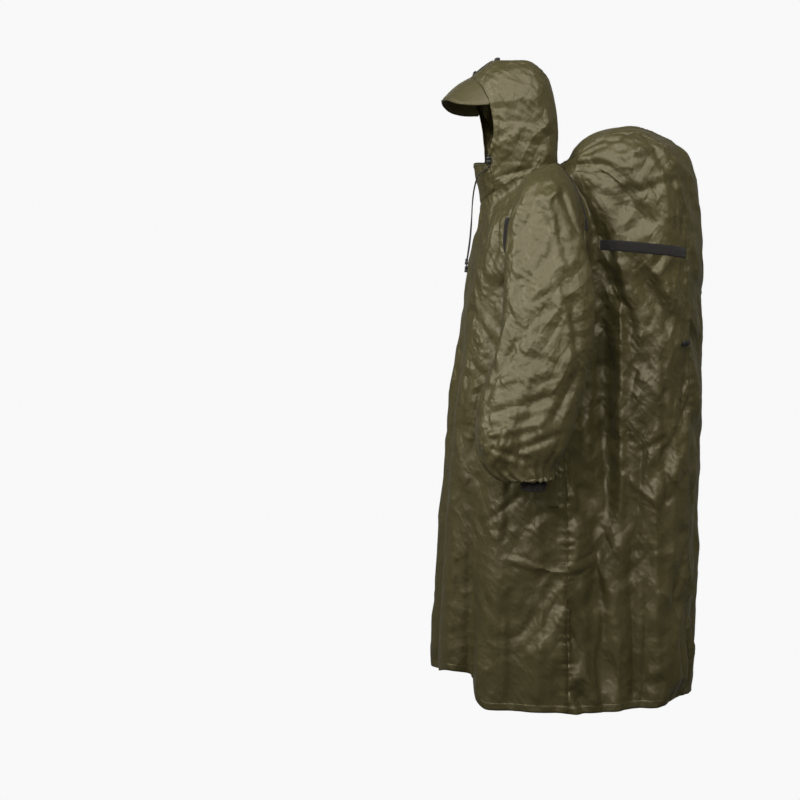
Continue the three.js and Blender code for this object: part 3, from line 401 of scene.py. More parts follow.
VISOR_RIM = Curve([0, 0.33, 0.62, 0.84, 1],
                  [(0, -205, 177), (46, -198, 173), (80, -174, 160), (96, -136, 155),
                   (100, -107, 156)])
HOOD_TURN, HOOD_AXIS_Y = math.radians(5), -5
CHIN_TURN = 1.25

# %% How finely each stretch of the skin is divided
RAGLAN_ROWS, LOWER_ROWS, SLEEVE_LINES, HOOD_LINES = 10, 12, 14, 8
CHIN_HALF, COLLAR, NECK, SIDE_COLUMNS, BACK_HALF = 7, 5, 4, 10, 4
HEM_ROW = RAGLAN_ROWS + LOWER_ROWS
FRONT_HALF = CHIN_HALF + COLLAR
HOOD_COLUMNS = SIDE_COLUMNS + NECK + COLLAR
SLEEVE_ROUND = 2 * RAGLAN_ROWS + NECK


def steps(*stretches):
    """Places from (first, last, divisions to each unit) stretches that follow each other."""
    out = [float(stretches[0][0])]
    for first, last, fine in stretches:
        count = int(round((last - first) * fine))
        out += [first + (last - first) * (k + 1) / count for k in range(count)]
    return np.array(out)


BODY_ROWS = steps((0, RAGLAN_ROWS, 6), (RAGLAN_ROWS, HEM_ROW, 17))
FRONT_COLUMNS = steps((-FRONT_HALF, FRONT_HALF, 6))
SIDE_PLACES = steps((0, SIDE_COLUMNS, 8))
BACK_PLACES = steps((-BACK_HALF, BACK_HALF, 8))
HOOD_ROWS = steps((0, HOOD_LINES, 10))
HOOD_PLACES = steps((0, SIDE_COLUMNS, 8), (SIDE_COLUMNS, HOOD_COLUMNS, 6))
CHIN_PLACES = steps((-CHIN_HALF, CHIN_HALF, 6))
SLEEVE_ROWS = steps((0, SLEEVE_LINES, 10))
SLEEVE_PLACES = steps((0, SLEEVE_ROUND, 6))[:-1]
print("rows down the body:", len(BODY_ROWS), "columns across the front:", len(FRONT_COLUMNS))


# %% The front and the back
def mirrored(points, side):
    return points * np.array([side, 1, 1])


def seam_point(raglan, row):
    """A panel's edge: down a raglan seam, and then down the side seam."""
    if row <= RAGLAN_ROWS:
        return raglan(row / RAGLAN_ROWS)
    return SIDE_SEAM((row - RAGLAN_ROWS) / LOWER_ROWS)


# Height of the front's middle at the neck, the chest and the hem
NECK_Z, CHEST_Z, MIDDLE_HEM_Z = -62, -258, -1176
# Degrees that the front turns through from its middle to its seam, at the neck and from the chest
NECK_TURN, CHEST_TURN = 62, 88
FRONT_SQUARENESS, FRONT_LEAN = 0.78, 1.6


def front_row(row, across, hem_column):
    """One row of half the front, from the middle (across 0) out to the seam (across 1)."""
    edge = seam_point(FRONT_RAGLAN, row)
    above = min(1, row / RAGLAN_ROWS)
    down = max(0, (edge[2] - UNDERARM[2]) / (SIDE_HEM_Z - UNDERARM[2]))
    hem = HEM(across)[:, hem_column]
    upper = row <= RAGLAN_ROWS
    mid_z = mix(NECK_Z, CHEST_Z, above) if upper else mix(CHEST_Z, MIDDLE_HEM_Z, down)
    opening = math.radians(mix(NECK_TURN, CHEST_TURN, smooth(above)))
    square = mix(1, FRONT_SQUARENESS, smooth(row / HEM_ROW * 1.6))
    turn = across * opening
    x = edge[0] * (np.sin(turn) / math.sin(opening)) ** square
    drop = (np.cos(turn) - math.cos(opening)) / (1 - math.cos(opening))
    drop = np.maximum(0, drop) ** square
    lean = across ** FRONT_LEAN
    z = mix(mid_z, edge[2], lean) if upper else mix(mix(CHEST_Z, UNDERARM[2], lean), hem, down)
    side_y = FRONT_SIDE(row)[0]
    y = mix(side_y, FRONT_PROFILE(mid_z)[0], drop) + (edge[1] - side_y) * across ** 5
    points = np.stack([x, y, z], 1)
    collar = 1 - smooth(row / NECK)
    if collar > 0:
        seam = NECK_FRONT(across)
        fade = (1 - smooth(across * FRONT_HALF - (FRONT_HALF - 1)))[:, None]
        flat_x = edge[0] * np.sin(turn) / math.sin(opening)
        shift = seam - np.stack([flat_x, y, z], 1)
        shift[:, 2] = 0
        points = points + shift * collar * 0.5 * fade
        points = points + (seam - points) * (1 - smooth(row)) * (1 if row == 0 else fade)
        points[-1] = edge
    return points


def front_grid():
    across = FRONT_COLUMNS[FRONT_COLUMNS >= 0] / FRONT_HALF
    rows = []
    for row in BODY_ROWS:
        left, right = front_row(row, across, 0), front_row(row, across, 1)
        rows.append(np.vstack([mirrored(right[:0:-1], -1), left]))
    return np.array(rows)


def back_row(row, columns):
    c = BACK(row)
    fold, flank, corner, middle = c[0:3], c[3:6], c[6:9], np.array([0, c[9], c[10]])
    edge = seam_point(BACK_RAGLAN, row)
    knots = [edge, fold, mix(fold, flank, RIDGE), flank, corner, middle, mirrored(corner, -1)]
    return Curve(BACK_COLUMN_AT, knots)(columns)


def side_grid(side):
    return np.array([mirrored(back_row(row, SIDE_PLACES), side) for row in BODY_ROWS])


def back_grid():
    half = BACK_PLACES[BACK_PLACES >= 0]
    rows = []
    for row in BODY_ROWS:
        left = back_row(row, SIDE_COLUMNS + BACK_HALF - half)
        rows.append(np.vstack([mirrored(left[:0:-1], -1), left]))
    return np.array(rows)


# %% The sleeves
def sleeve_angle(m):
    """How far round the sleeve its place m lies, from the underarm and past the neck."""
    neck_end = RAGLAN_ROWS + NECK
    front = mix(-math.pi, -NECK_HALF_ANGLE, m / RAGLAN_ROWS)
    neck = mix(-NECK_HALF_ANGLE, NECK_HALF_ANGLE, (m - RAGLAN_ROWS) / NECK)
    back = mix(NECK_HALF_ANGLE, math.pi, (m - neck_end) / RAGLAN_ROWS)
    return np.where(m <= RAGLAN_ROWS, front, np.where(m <= neck_end, neck, back))


def raglan_loop(m):
    """The sleeve's sewn edge: up the front raglan seam, along the neck, down the back one."""
    if m <= RAGLAN_ROWS:
        return FRONT_RAGLAN(1 - m / RAGLAN_ROWS)
    if m <= RAGLAN_ROWS + NECK:
        return NECK_SIDE((m - RAGLAN_ROWS) / NECK)
    return BACK_RAGLAN((m - RAGLAN_ROWS - NECK) / RAGLAN_ROWS)


def sleeve_ring(row):
    out_x, out_z, in_x, in_z, front, back = SLEEVE(row)
    angle = sleeve_angle(SLEEVE_PLACES)
    outward, behind = [(1 + np.sign(way) * np.abs(way) ** SLEEVE_SQUARENESS) / 2
                       for way in (np.cos(angle), np.sin(angle))]
    ring = [mix(in_x, out_x, outward), mix(front, back, behind), mix(in_z, out_z, outward)]
    return np.stack(ring, 1)


def sleeve_grid(side):
    to_seam = np.array([raglan_loop(m) for m in SLEEVE_PLACES]) - sleeve_ring(0)
    return np.array([mirrored(sleeve_ring(row) + to_seam * (1 - smooth(row / 5)), side)
                     for row in SLEEVE_ROWS])


# %% The hood, its chin guard and its visor
def neck_under_hood(column):
    if column <= SIDE_COLUMNS:
        return back_row(0, np.array([SIDE_COLUMNS - column]))[0]
    if column <= SIDE_COLUMNS + NECK:
        return NECK_SIDE(1 - (column - SIDE_COLUMNS) / NECK)
    return NECK_FRONT((FRONT_HALF - (column - SIDE_COLUMNS - NECK)) / FRONT_HALF)


def hood_row(t, columns):
    return Curve(HOOD_COLUMN_AT, HOOD(t)[:15].reshape(5, 3))(columns)


def hood_side_grid(side):
    to_seam = np.array([neck_under_hood(c) for c in HOOD_PLACES]) - hood_row(1, HOOD_PLACES)
    return np.array([mirrored(hood_row(t, HOOD_PLACES) + to_seam * t ** 3, side)
                     for t in HOOD_ROWS / HOOD_LINES])


def crown_row(t, out):
    """One row of the crown at shares out of the way from its middle to its side seam."""
    seam, (mid_y, mid_z) = hood_row(t, np.array([0.0]))[0], HOOD(t)[15:17]
    row = np.stack([seam[0] * out, mix(mid_y, seam[1], out ** 2), mix(mid_z, seam[2], out ** 2)], 1)
    return back_row(0, SIDE_COLUMNS + BACK_HALF * (1 - out)) if t == 1 else row


def crown_grid():
    out = np.abs(BACK_PLACES) / BACK_HALF
    return np.array([crown_row(t, out) * each_side(BACK_PLACES) for t in HOOD_ROWS / HOOD_LINES])


def chin_grid():
    out = np.abs(CHIN_PLACES) / CHIN_HALF
    seam = NECK_FRONT(np.abs(CHIN_PLACES) / FRONT_HALF)
    rows = []
    for t in HOOD_ROWS / HOOD_LINES:
        side, (y, z) = hood_row(t, np.array([float(HOOD_COLUMNS)]))[0], CHIN(t)
        x = side[0] * np.sin(out * CHIN_TURN) / math.sin(CHIN_TURN)
        p = np.stack([x, mix(y, side[1], out ** 2.2), mix(z, side[2], out ** 1.6)], 1)
        fade = (1 - smooth(out * CHIN_HALF - (CHIN_HALF - 1)))[:, None]
        rows.append((seam if t == 1 else p + (seam - p) * t ** 3 * fade) * each_side(CHIN_PLACES))
    return np.array(rows)


def turned(grid):
    """The hood is turned a little towards one side, more the higher up it is."""
    x, y, z = grid[..., 0], grid[..., 1] - HOOD_AXIS_Y, grid[..., 2]
    angle = HOOD_TURN * smooth((z - 30) / 75)
    return np.stack([x * np.cos(angle) - y * np.sin(angle),
                     HOOD_AXIS_Y + x * np.sin(angle) + y * np.cos(angle), z], -1)


# %% Weld the panels into one skin
SIDES = {"left": 1, "right": -1}


def pair(kind, value):
    """One value for both pieces of a kind, or a function that makes each piece's own."""
    return {f"{kind}_{name}": value(side) if callable(value) else value
            for name, side in SIDES.items()}


GRIDS = {"front_panel": front_grid(), **pair("pack_side", side_grid), "pack_back": back_grid(),
         **pair("sleeve", sleeve_grid),
         **pair("hood_side", lambda side: turned(hood_side_grid(side))),
         "hood_crown": turned(crown_grid()), "chin_guard": turned(chin_grid())}
PLACES = {"front_panel": (BODY_ROWS, FRONT_COLUMNS + FRONT_HALF),
          **pair("pack_side", (BODY_ROWS, SIDE_PLACES)),
          "pack_back": (BODY_ROWS, BACK_PLACES + BACK_HALF),
          **pair("sleeve", (SLEEVE_ROWS, SLEEVE_PLACES)),
          **pair("hood_side", (HOOD_ROWS, HOOD_PLACES)),
          "hood_crown": (HOOD_ROWS, BACK_PLACES + BACK_HALF),
          "chin_guard": (HOOD_ROWS, CHIN_PLACES + CHIN_HALF)}
WELD_MM = 0.12


def weld(grids):
    """All points once, and each panel's grid of numbers into them."""
    every = np.concatenate([g.reshape(-1, 3) for g in grids.values()])
    border = np.concatenate([border_mask(g, name).ravel() for name, g in grids.items()])
    owner = np.arange(len(every))
    places = np.flatnonzero(border)
    tree = KDTree(len(places))
    for k in places:
        tree.insert(every[k], int(k))
    tree.balance()
    for k in places:
        owner[k] = min(found[1] for found in tree.find_range(every[k], WELD_MM))
    for _ in range(3):
        owner = owner[owner]
    used, numbers = np.unique(owner, return_inverse=True)
    out, start = {}, 0
    for name, g in grids.items():
        count = g.shape[0] * g.shape[1]
        out[name] = numbers[start:start + count].reshape(g.shape[:2])
        start += count
    return every[used], out


def border_mask(grid, name):
    mask = np.zeros(grid.shape[:2], bool)
    mask[[0, -1]] = True
    if not name.startswith("sleeve"):
        mask[:, [0, -1]] = True
    return mask


points, index = weld(GRIDS)
print("points in the skin:", len(points))

# %% [markdown]
# ## Which way is out
# Folds move cloth in or out, so every point needs a direction. It is the mean of the faces round
# it, and each panel's faces are first turned to look away from a place inside the garment.

# %% Faces and their directions
SLEEVES = ("sleeve_left", "sleeve_right")
HOOD_PANELS = ("hood_side_left", "hood_side_right", "hood_crown", "chin_guard")
BODY = ("front_panel", "pack_side_left", "pack_side_right", "pack_back")


def inside_of(name, at):
    if name in BODY:
        return np.stack([at[:, 0] * 0, at[:, 0] * 0 + BODY_AXIS_Y, np.minimum(at[:, 2], -60)], 1)
    if name in HOOD_PANELS:
        return at * 0 + np.array([0, -25, 110])
    side = 1 if name.endswith("left") else -1
    down = np.clip(-at[:, 2] / 690, 0, 1)
    return np.stack([side * mix(150, 290, down), at[:, 0] * 0 + 20, np.minimum(-110, at[:, 2])], 1)


def crossed(at, quads):
    """The diagonals' cross product: each face's direction, as long as twice its area."""
    corners = at[quads]
    return np.cross(corners[:, 2] - corners[:, 0], corners[:, 3] - corners[:, 1])


def quads_of(name):
    grid = index[name]
    if name in SLEEVES:
        grid = np.hstack([grid, grid[:, :1]])
    quads = np.stack([grid[:-1, :-1], grid[:-1, 1:], grid[1:, 1:], grid[1:, :-1]], -1)
    quads = quads.reshape(-1, 4)
    middle = points[quads].mean(1)
    outward = (crossed(points, quads) * (middle - inside_of(name, middle))).sum()
    return quads if outward > 0 else quads[:, ::-1]


QUADS = {name: quads_of(name) for name in index}
ALL_QUADS = np.concatenate(list(QUADS.values()))


def find_normals(at):
    face, total = crossed(at, ALL_QUADS), np.zeros_like(at)
    for k in range(4):
        np.add.at(total, ALL_QUADS[:, k], face)
    return unit(total)


normals = find_normals(points)
cut_areas = {}
for name, quads in QUADS.items():
    cut_areas[name] = float(np.linalg.norm(crossed(points, quads), axis=1).sum() / 2) * MM * MM
print("cloth in square metres:", round(sum(cut_areas.values()), 2))

# %% [markdown]
# ## The large folds
# Loose cloth hangs in vertical pleats that grow towards the hem. Each is a row of a table: where it
# runs round the body, where it starts, how wide it is, and how far it stands out or sinks in.
# Slanting creases pull from the webbing and the underarms across the back's sides.

# %% Vertical folds: bearing at top and hem, heights of both ends, half width, depth at both ends
FOLDS = [
    (36, 34, -430, -1240, 30, -3, -52), (50, 48, -430, -1240, 34, 2, 7),
    (11, 9, -150, -1240, 26, -6, -12), (-1, -2, -260, -1240, 24, 4, 8),
    (-12, -13, -150, -1240, 26, -7, -13), (-23, -22, -500, -1240, 26, 2, 10),
    (-35, -34, -460, -1240, 26, -4, -30), (50, 56, -90, -560, 22, -12, -5),
    (-50, -56, -90, -560, 22, -13, -5), (64, 62, -640, -1240, 34, -3, -11),
    (-68, -64, -640, -1240, 34, -3, -10), (104, 108, -560, -1240, 20, -3, -12),
    (116, 117, -300, -1240, 22, 2, 9), (127, 127, -260, -1240, 24, -7, -10),
    (-106, -109, -540, -1240, 22, -3, -10), (-118, -118, -320, -1240, 22, 2, 8),
    (-129, -130, -240, -1240, 24, -6, -9), (168, 168, -330, -1240, 22, -3, -9),
    (-170, -169, -420, -1240, 22, -4, -8)]
# Creases seen from the side: y and z of both ends, half width, depth
SLANTS = [
    (226, -206, 332, -374, 20, -13), (262, -214, 345, -330, 15, 7), (176, -222, 264, -470, 17, -9),
    (196, -22, 262, -132, 16, -7), (128, -40, 240, -96, 14, -6), (151, -839, 184, -1190, 12, -8),
    (120, -905, 200, -860, 12, 5)]
FOLD_FADE_TOP = 190


def fold_depth(at):
    dy = BODY_AXIS_Y - at[:, 1]
    bearing, radius = np.degrees(np.arctan2(at[:, 0], dy)), np.hypot(at[:, 0], dy)
    depth = np.zeros(len(at))
    for at_top, at_hem, top, bottom, half_width, deep_top, deep_hem in FOLDS:
        down = np.clip((top - at[:, 2]) / (top - bottom), 0, 1)
        turn = (bearing - mix(at_top, at_hem, down) + 180) % 360 - 180
        away = np.radians(turn) * radius / half_width
        shown = smooth((top - at[:, 2]) / FOLD_FADE_TOP) * np.exp(-away ** 2)
        depth += mix(deep_top, deep_hem, down) * shown
    return depth


def slant_depth(at, creases, shoulders=0.0, fade=20.0, sharp=2.0):
    depth = np.zeros(len(at))
    for y0, z0, y1, z1, half_width, full in creases:
        dy, dz = y1 - y0, z1 - z0
        length = math.hypot(dy, dz)
        along = ((at[:, 1] - y0) * dy + (at[:, 2] - z0) * dz) / length
        aside = np.abs((at[:, 1] - y0) * dz - (at[:, 2] - z0) * dy) / length / half_width
        ends = smooth((along + fade) / (3 * fade)) * smooth((length + fade - along) / (3 * fade))
        profile = np.exp(-aside ** sharp) - shoulders * np.exp(-((aside - 1.7) / 0.8) ** 2)
        depth += full * ends * profile
    return depth


def places_of(name):
    rows, columns = PLACES[name]
    return [a.ravel() for a in np.meshgrid(rows, columns, indexing="ij")]


# Rows or columns over which folds and slants fade in from an edge
FOLD_FADE, NECK_FADE, SLANT_FADE = 3, 4, 2
fold_share, slant_share = np.zeros(len(points)), np.zeros(len(points))
for name in BODY:
    row, column = places_of(name)
    number, inward = index[name].ravel(), np.ones(len(row))
    if name.startswith("pack_side"):
        inward = smooth(column / FOLD_FADE)
        slant_share[number] = (smooth(np.minimum(row, column) / SLANT_FADE)
                               * smooth((SIDE_COLUMNS - column) / SLANT_FADE))
    if name == "front_panel":
        inward = smooth(np.minimum(column, 2 * FRONT_HALF - column) / FOLD_FADE)
    low_down = smooth((row - RAGLAN_ROWS) / FOLD_FADE)
    fold_share[number] = mix(low_down, 1, inward) * smooth(row / NECK_FADE)
depth = fold_depth(points) * fold_share
depth += slant_depth(points, SLANTS) * smooth((np.abs(points[:, 0]) - 90) / 40) * slant_share
points = points + normals * depth[:, None]
normals = find_normals(points)
print("deepest fold in mm:", round(float(-depth.min()), 1))

# %% [markdown]
# ## Creases placed one by one
# Coated nylon keeps every crease it was packed with. These are read off one by one, as lines seen
# from the side. Each is a soft trough or ridge with low shoulders. The hidden side gets similar
# ones, moved and scaled a little by a fixed random seed.

# %% Crease tables: y and z of both ends, half width, depth
BODY_CREASES = [
    (160, -115, 181, -205, 9, -4.5), (200, -300, 205, -790, 11, 4.5),
    (217, -326, 236, -470, 9, -4), (-72, -360, -122, -702, 10, 4),
    (-122, -702, -127, -1205, 10, 4.5), (62, -910, -62, -877, 8, 4),
    (62, -910, 152, -877, 8, 3.5), (62, -910, -28, -1059, 9, -4.5),
    (62, -910, 132, -1084, 9, -4.5), (62, -910, 58, -790, 7, -3), (300, -420, 310, -760, 10, -4),
    (330, -560, 322, -900, 9, 3.5), (250, -560, 240, -880, 10, -5),
    (280, -700, 290, -1150, 11, 4.5), (225, -820, 235, -1200, 10, -4.5),
    (330, -900, 345, -1200, 9, -4), (262, -930, 255, -1210, 8, -3.5),
    (310, -1010, 305, -1210, 8, 3.5), (255, -470, 330, -560, 8, 3), (236, -640, 318, -600, 8, -3),
    (210, -690, 290, -760, 8, 3), (-40, -560, -60, -840, 9, -4), (0, -640, 20, -900, 9, 3.5),
    (-160, -700, -175, -1100, 9, -3.5), (20, -960, 10, -1200, 9, 4),
    (-100, -960, -90, -1180, 8, -4), (-60, -1010, -66, -1195, 8, 3.5),
    (-140, -430, -60, -520, 9, -3), (-150, -300, -70, -420, 10, -3.5),
    (-20, -730, -110, -800, 8, -3), (110, -560, 120, -820, 9, -3.5),
    (140, -430, 130, -640, 9, 3.5), (150, -1000, 140, -1205, 8, 3.5), (120, 40, 232, 92, 9, -5),
    (190, 30, 330, 62, 10, 4.5), (228, -50, 352, -14, 9, -5), (170, 70, 250, 40, 8, 4),
    (256, 84, 300, 0, 8, -4), (150, 10, 215, -40, 8, 4), (300, 40, 378, -20, 8, 4),
    (250, -20, 300, -80, 7, -4), (330, -60, 372, -150, 8, -3.5), (285, -110, 350, -100, 7, 3)]
SLEEVE_CREASES = [
    (-30, -360, -88, -465, 8, -4.5), (-52, -330, -96, -420, 8, 3.5), (-66, -404, 52, -436, 8, -4),
    (-84, -468, 44, -448, 8, 4), (-104, -540, 50, -498, 9, -4.5), (-112, -588, 18, -556, 8, 4),
    (-60, -622, 58, -580, 8, -4), (80, -300, 96, -470, 9, -4), (40, -240, 78, -380, 10, 3.5),
    (-40, -160, -58, -300, 10, 3.5), (100, -440, 30, -560, 9, -4), (-20, -250, 24, -330, 8, -3),
    (-95, -645, -62, -562, 7, 4), (28, -650, 0, -562, 7, 4), (28, -650, 52, -590, 6, -3.5),
    (-40, -655, -34, -580, 6, -3.5), (-70, -655, -78, -600, 6, 3), (60, -40, 96, -150, 10, -4),
    (10, -20, -20, -140, 10, -3), (30, -90, 60, -230, 9, 3), (-110, -610, -20, -640, 7, -3.5)]
HOOD_CREASES = [
    (-112, 92, 40, 60, 7, -3.5), (-104, 60, 58, 40, 7, 3.5), (-106, 122, 22, 112, 7, -3.5),
    (-102, 158, 12, 170, 8, 3), (-90, 30, 42, 20, 6, -3.5), (-60, 204, 30, 152, 8, -3),
    (-20, 232, 46, 122, 8, 3), (-84, -10, 58, 26, 6, -4), (0, 214, 56, 62, 8, -3),
    (-96, 78, -20, 30, 6, 3), (-70, 140, 44, 84, 6, -3), (-40, 100, 50, 96, 6, 3)]
rng = np.random.default_rng(11)
CREASE_GAIN, HOOD_GAIN = 1.3, 0.35


def moved_a_little(creases):
    out = []
    for *ends_at, half_width, full in creases:
        moved = rng.uniform(-16, 16, 4) + ends_at
        out.append((*moved, half_width, full * rng.uniform(0.7, 1.1)))
    return out


def points_in(names):
    """True for the points of these panels."""
    chosen = np.zeros(len(points), bool)
    for name in names:
        chosen[index[name].ravel()] = True
    return chosen


def crease(names, creases, sides):
    """Adds creases to the points of these panels that face to one side."""
    for side in sides:
        facing = smooth((normals[:, 0] * side - 0.12) / 0.35) * points_in(names)
        lines = creases if side > 0 else moved_a_little(creases)
        gain = HOOD_GAIN if names == HOOD_PANELS else CREASE_GAIN
        total = gain * slant_depth(points, lines, 0.25, 10.0, 1.15)
        points[:] = points + normals * (total * facing)[:, None]


crease(BODY, BODY_CREASES, (1, -1))
crease(("sleeve_left",), SLEEVE_CREASES, (1,))
crease(("sleeve_right",), SLEEVE_CREASES, (-1,))
crease(HOOD_PANELS, HOOD_CREASES, (1, -1))
# The sleeves' inner faces get creases too, seen along their own directions
INNER_CREASES = moved_a_little(SLEEVE_CREASES)
crease(("sleeve_left",), INNER_CREASES, (-1,))
crease(("sleeve_right",), INNER_CREASES, (1,))
normals = find_normals(points)
print("creases placed:", 2 * len(BODY_CREASES) + 4 * len(SLEEVE_CREASES) + 2 * len(HOOD_CREASES))

# %% [markdown]
# ## Crumple
# Thin coated nylon doesn't ripple like knitwear. It stays flat between sharp straight edges, like
# paper that was crumpled and shaken out. A cloth simulation was tried first, and on a mesh of this
# size it gave round lumps. So random corners are joined into flat facets, which meet in crisp
# lines.

# %% Where cloth has to stay calm: beside hardware, and where a sleeve hangs close to the body
HARDWARE = [n for n in frame["nodes"] if "toggle" in n or "tape" in n or "tab" in n]
HARDWARE_REACH, CALMEST = 16, 0.25
# Under the arm, sleeve and body are fully calm this close together, and free that much further on
UNDER_ARM_Z, INNER_X, TOUCHING, FREE_AFTER = -285, 262, 4, 22


def calm_share(at):
    share = np.ones(len(at))
    for name in HARDWARE:
        low, high = [np.array(corner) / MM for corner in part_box(name)]
        off = np.linalg.norm(np.maximum(0, np.maximum(low - at, at - high)), axis=1)
        share = np.minimum(share, CALMEST + (1 - CALMEST) * smooth(off / HARDWARE_REACH))
    sleeve, body, low_down = points_in(SLEEVES), points_in(BODY), at[:, 2] < UNDER_ARM_Z
    for one, other in ((sleeve, body), (body, sleeve)):
        tree = tree_of(at, np.flatnonzero(other & low_down))
        for k in np.flatnonzero(one & low_down & (np.abs(at[:, 0]) < INNER_X)):
            free = (tree.find(at[k])[2] - TOUCHING) / FREE_AFTER
            share[k] = min(share[k], max(0.05, min(1, free)))
    return share


def tree_of(at, numbers):
    tree = KDTree(len(numbers))
    for k in numbers:
        tree.insert(at[k], int(k))
    tree.balance()
    return tree


calm = calm_share(points)


# %% Flat facets between random corners
def spans(name):
    """Rough distances in mm across the columns and down the rows of a panel."""
    grid = points[index[name]]
    across = np.linalg.norm(np.diff(grid, axis=1), axis=2).mean(0)
    down = np.linalg.norm(np.diff(grid, axis=0), axis=2).mean(1)
    return np.concatenate([[0], np.cumsum(across)]), np.concatenate([[0], np.cumsum(down)])


def facets(name, wide, tall, height, lean=0.0):
    """Heights of a sheet of flat facets, about wide by tall, in rows that rise to its sides."""
    u, v = spans(name)
    rise = lean * np.abs(u - u[-1] / 2)
    ends = ((u[-1], wide), (v[-1] + rise.max(), tall))
    columns, rows = [np.arange(-1, end / step + 2) for end, step in ends]
    corner_u, corner_v = [a.ravel() for a in np.meshgrid(columns * wide, rows * tall)]
    corner_u = corner_u + rng.uniform(-0.48, 0.48, len(corner_u)) * wide
    corner_v = corner_v + rng.uniform(-0.48, 0.48, len(corner_v)) * tall
    corner_h = rng.uniform(-1, 1, len(corner_u)) * height
    flat, _, triangles, owners, _, _ = delaunay_2d_cdt(
        [Vector((a / wide, b / tall)) for a, b in zip(corner_u, corner_v)], [], [], 0, 1e-6)
    out = np.zeros((len(v), len(u)))
    for triangle in triangles:
        (a, b, c) = [np.array([flat[k][0] * wide, flat[k][1] * tall]) for k in triangle]
        h = [corner_h[owners[k][0]] for k in triangle]
        c0, c1 = np.searchsorted(u, [min(a[0], b[0], c[0]), max(a[0], b[0], c[0])])
        r0, r1 = np.searchsorted(v, [min(a[1], b[1], c[1]) - rise.max(), max(a[1], b[1], c[1])])
        if c0 >= c1 or r0 >= r1:
            continue
        x, y = np.meshgrid(u[c0:c1] - a[0], v[r0:r1] - a[1])
        y = y + rise[c0:c1]
        det = (b[0] - a[0]) * (c[1] - a[1]) - (c[0] - a[0]) * (b[1] - a[1])
        p = (x * (c[1] - a[1]) - y * (c[0] - a[0])) / det
        q = (y * (b[0] - a[0]) - x * (b[1] - a[1])) / det
        inside = (p >= -1e-9) & (q >= -1e-9) & (p + q <= 1 + 1e-9)
        block = out[r0:r1, c0:c1]
        block[inside] = (h[0] + p * (h[1] - h[0]) + q * (h[2] - h[0]))[inside]
    return out


def seam_fade(name, reach):
    """0 on a panel's sewn edges and 1 further in than reach."""
    u, v = spans(name)
    down = v if name in BODY else np.minimum(v, v[-1] - v)
    return smooth(np.minimum.outer(down, np.minimum(u, u[-1] - u)) / reach)


def skirt_gain(name):
    """Low down the cloth hangs smooth, and crumples mostly beside the seams that pull on it."""
    u, v = spans(name)
    beside = mix(SKIRT_BESIDE, SKIRT_AWAY, smooth(np.minimum(u, u[-1] - u) / SEAM_PULL_REACH))
    low_down = smooth((v - SKIRT_START) / SKIRT_FADE)[:, None]
    return mix(1, beside[None, :], low_down) if name in BODY else 1


SKIRT_BESIDE, SKIRT_AWAY, SKIRT_LEAN = 2.6, 0.7, 0.8
SEAM_PULL_REACH, SKIRT_START, SKIRT_FADE, EDGE_FADE = 130, 520, 260, 16
# Panel, then width, height and depth of the large facets, and of the small ones
CRUMPLE = {"front_panel": (56, 92, 5.2, 25, 33, 2.3),
           **pair("pack_side", (54, 80, 7.2, 25, 31, 3.1)), "pack_back": (54, 80, 5.6, 25, 31, 2.4),
           **pair("sleeve", (50, 66, 3.4, 22, 27, 1.5)),
           **pair("hood_side", (34, 56, 1.4, 15, 25, 0.8)),
           "hood_crown": (34, 40, 1.5, 15, 23, 0.8), "chin_guard": (34, 36, 1.6, 15, 23, 0.8)}
crumple = np.zeros(len(points))
for name, sizes in CRUMPLE.items():
    gain = skirt_gain(name)
    heights = facets(name, *sizes[:3], SKIRT_LEAN if name in BODY else 0) * gain
    heights = heights + facets(name, *sizes[3:]) * np.minimum(gain, 1)
    crumple[index[name].ravel()] = (heights * seam_fade(name, EDGE_FADE)).ravel()
points = points + normals * (crumple * calm)[:, None]
normals = find_normals(points)
print("crumple in mm:", round(float(np.abs(crumple).mean()), 2), "on average")

# %% [markdown]
# ## Seams and gathers
# Thread always pulls cloth a little shorter than it is. So every seam sits in a shallow groove,
# with short puckers across it, most of all down the side and at the rear corner. The sleeve's end
# is gathered into the cuff, and a tunnel for the drawcord runs round the face opening.

# %% Seam lines, as chains of points
def shared(first, second):
    return np.intersect1d(index[first], index[second])


# Two panels, where * is left or right, and how strongly their seam puckers
PUCKERS = [("front_panel", "pack_side_*", 3.4), ("pack_side_*", "pack_back", 2.8),
           ("front_panel", "sleeve_*", 1.2), ("pack_side_*", "sleeve_*", 1.2),
           ("hood_side_*", "hood_crown", 1.0), ("hood_side_*", "chin_guard", 0.8),
           ("hood_side_*", "pack_side_*", 1.1), ("hood_side_*", "sleeve_*", 1.1),
           ("hood_side_*", "front_panel", 1.1), ("hood_crown", "pack_back", 1.1),
           ("chin_guard", "front_panel", 0.9)]
PUCKER_REACH, PUCKER_DEEP, GROOVE, GROOVE_REACH = 13.0, 1.6, 0.9, 3.5
pull = {}
for first, second, strength in PUCKERS:
    for side in SIDES:
        for k in shared(first.replace("*", side), second.replace("*", side)):
            pull[int(k)] = max(strength, pull.get(int(k), 0))
seam_tree = tree_of(points, list(pull))
lift = np.zeros(len(points))
for k in range(len(points)):
    at, nearest, off = seam_tree.find(points[k])
    if off < 2.5 * PUCKER_REACH:
        wave = noise.noise(at / 8.5) + 0.5 * noise.noise(at / 4.6)
        lift[k] = PUCKER_DEEP * pull[nearest] * wave * math.exp(-(off / PUCKER_REACH) ** 2)
        lift[k] -= GROOVE * math.exp(-(off / GROOVE_REACH) ** 2)

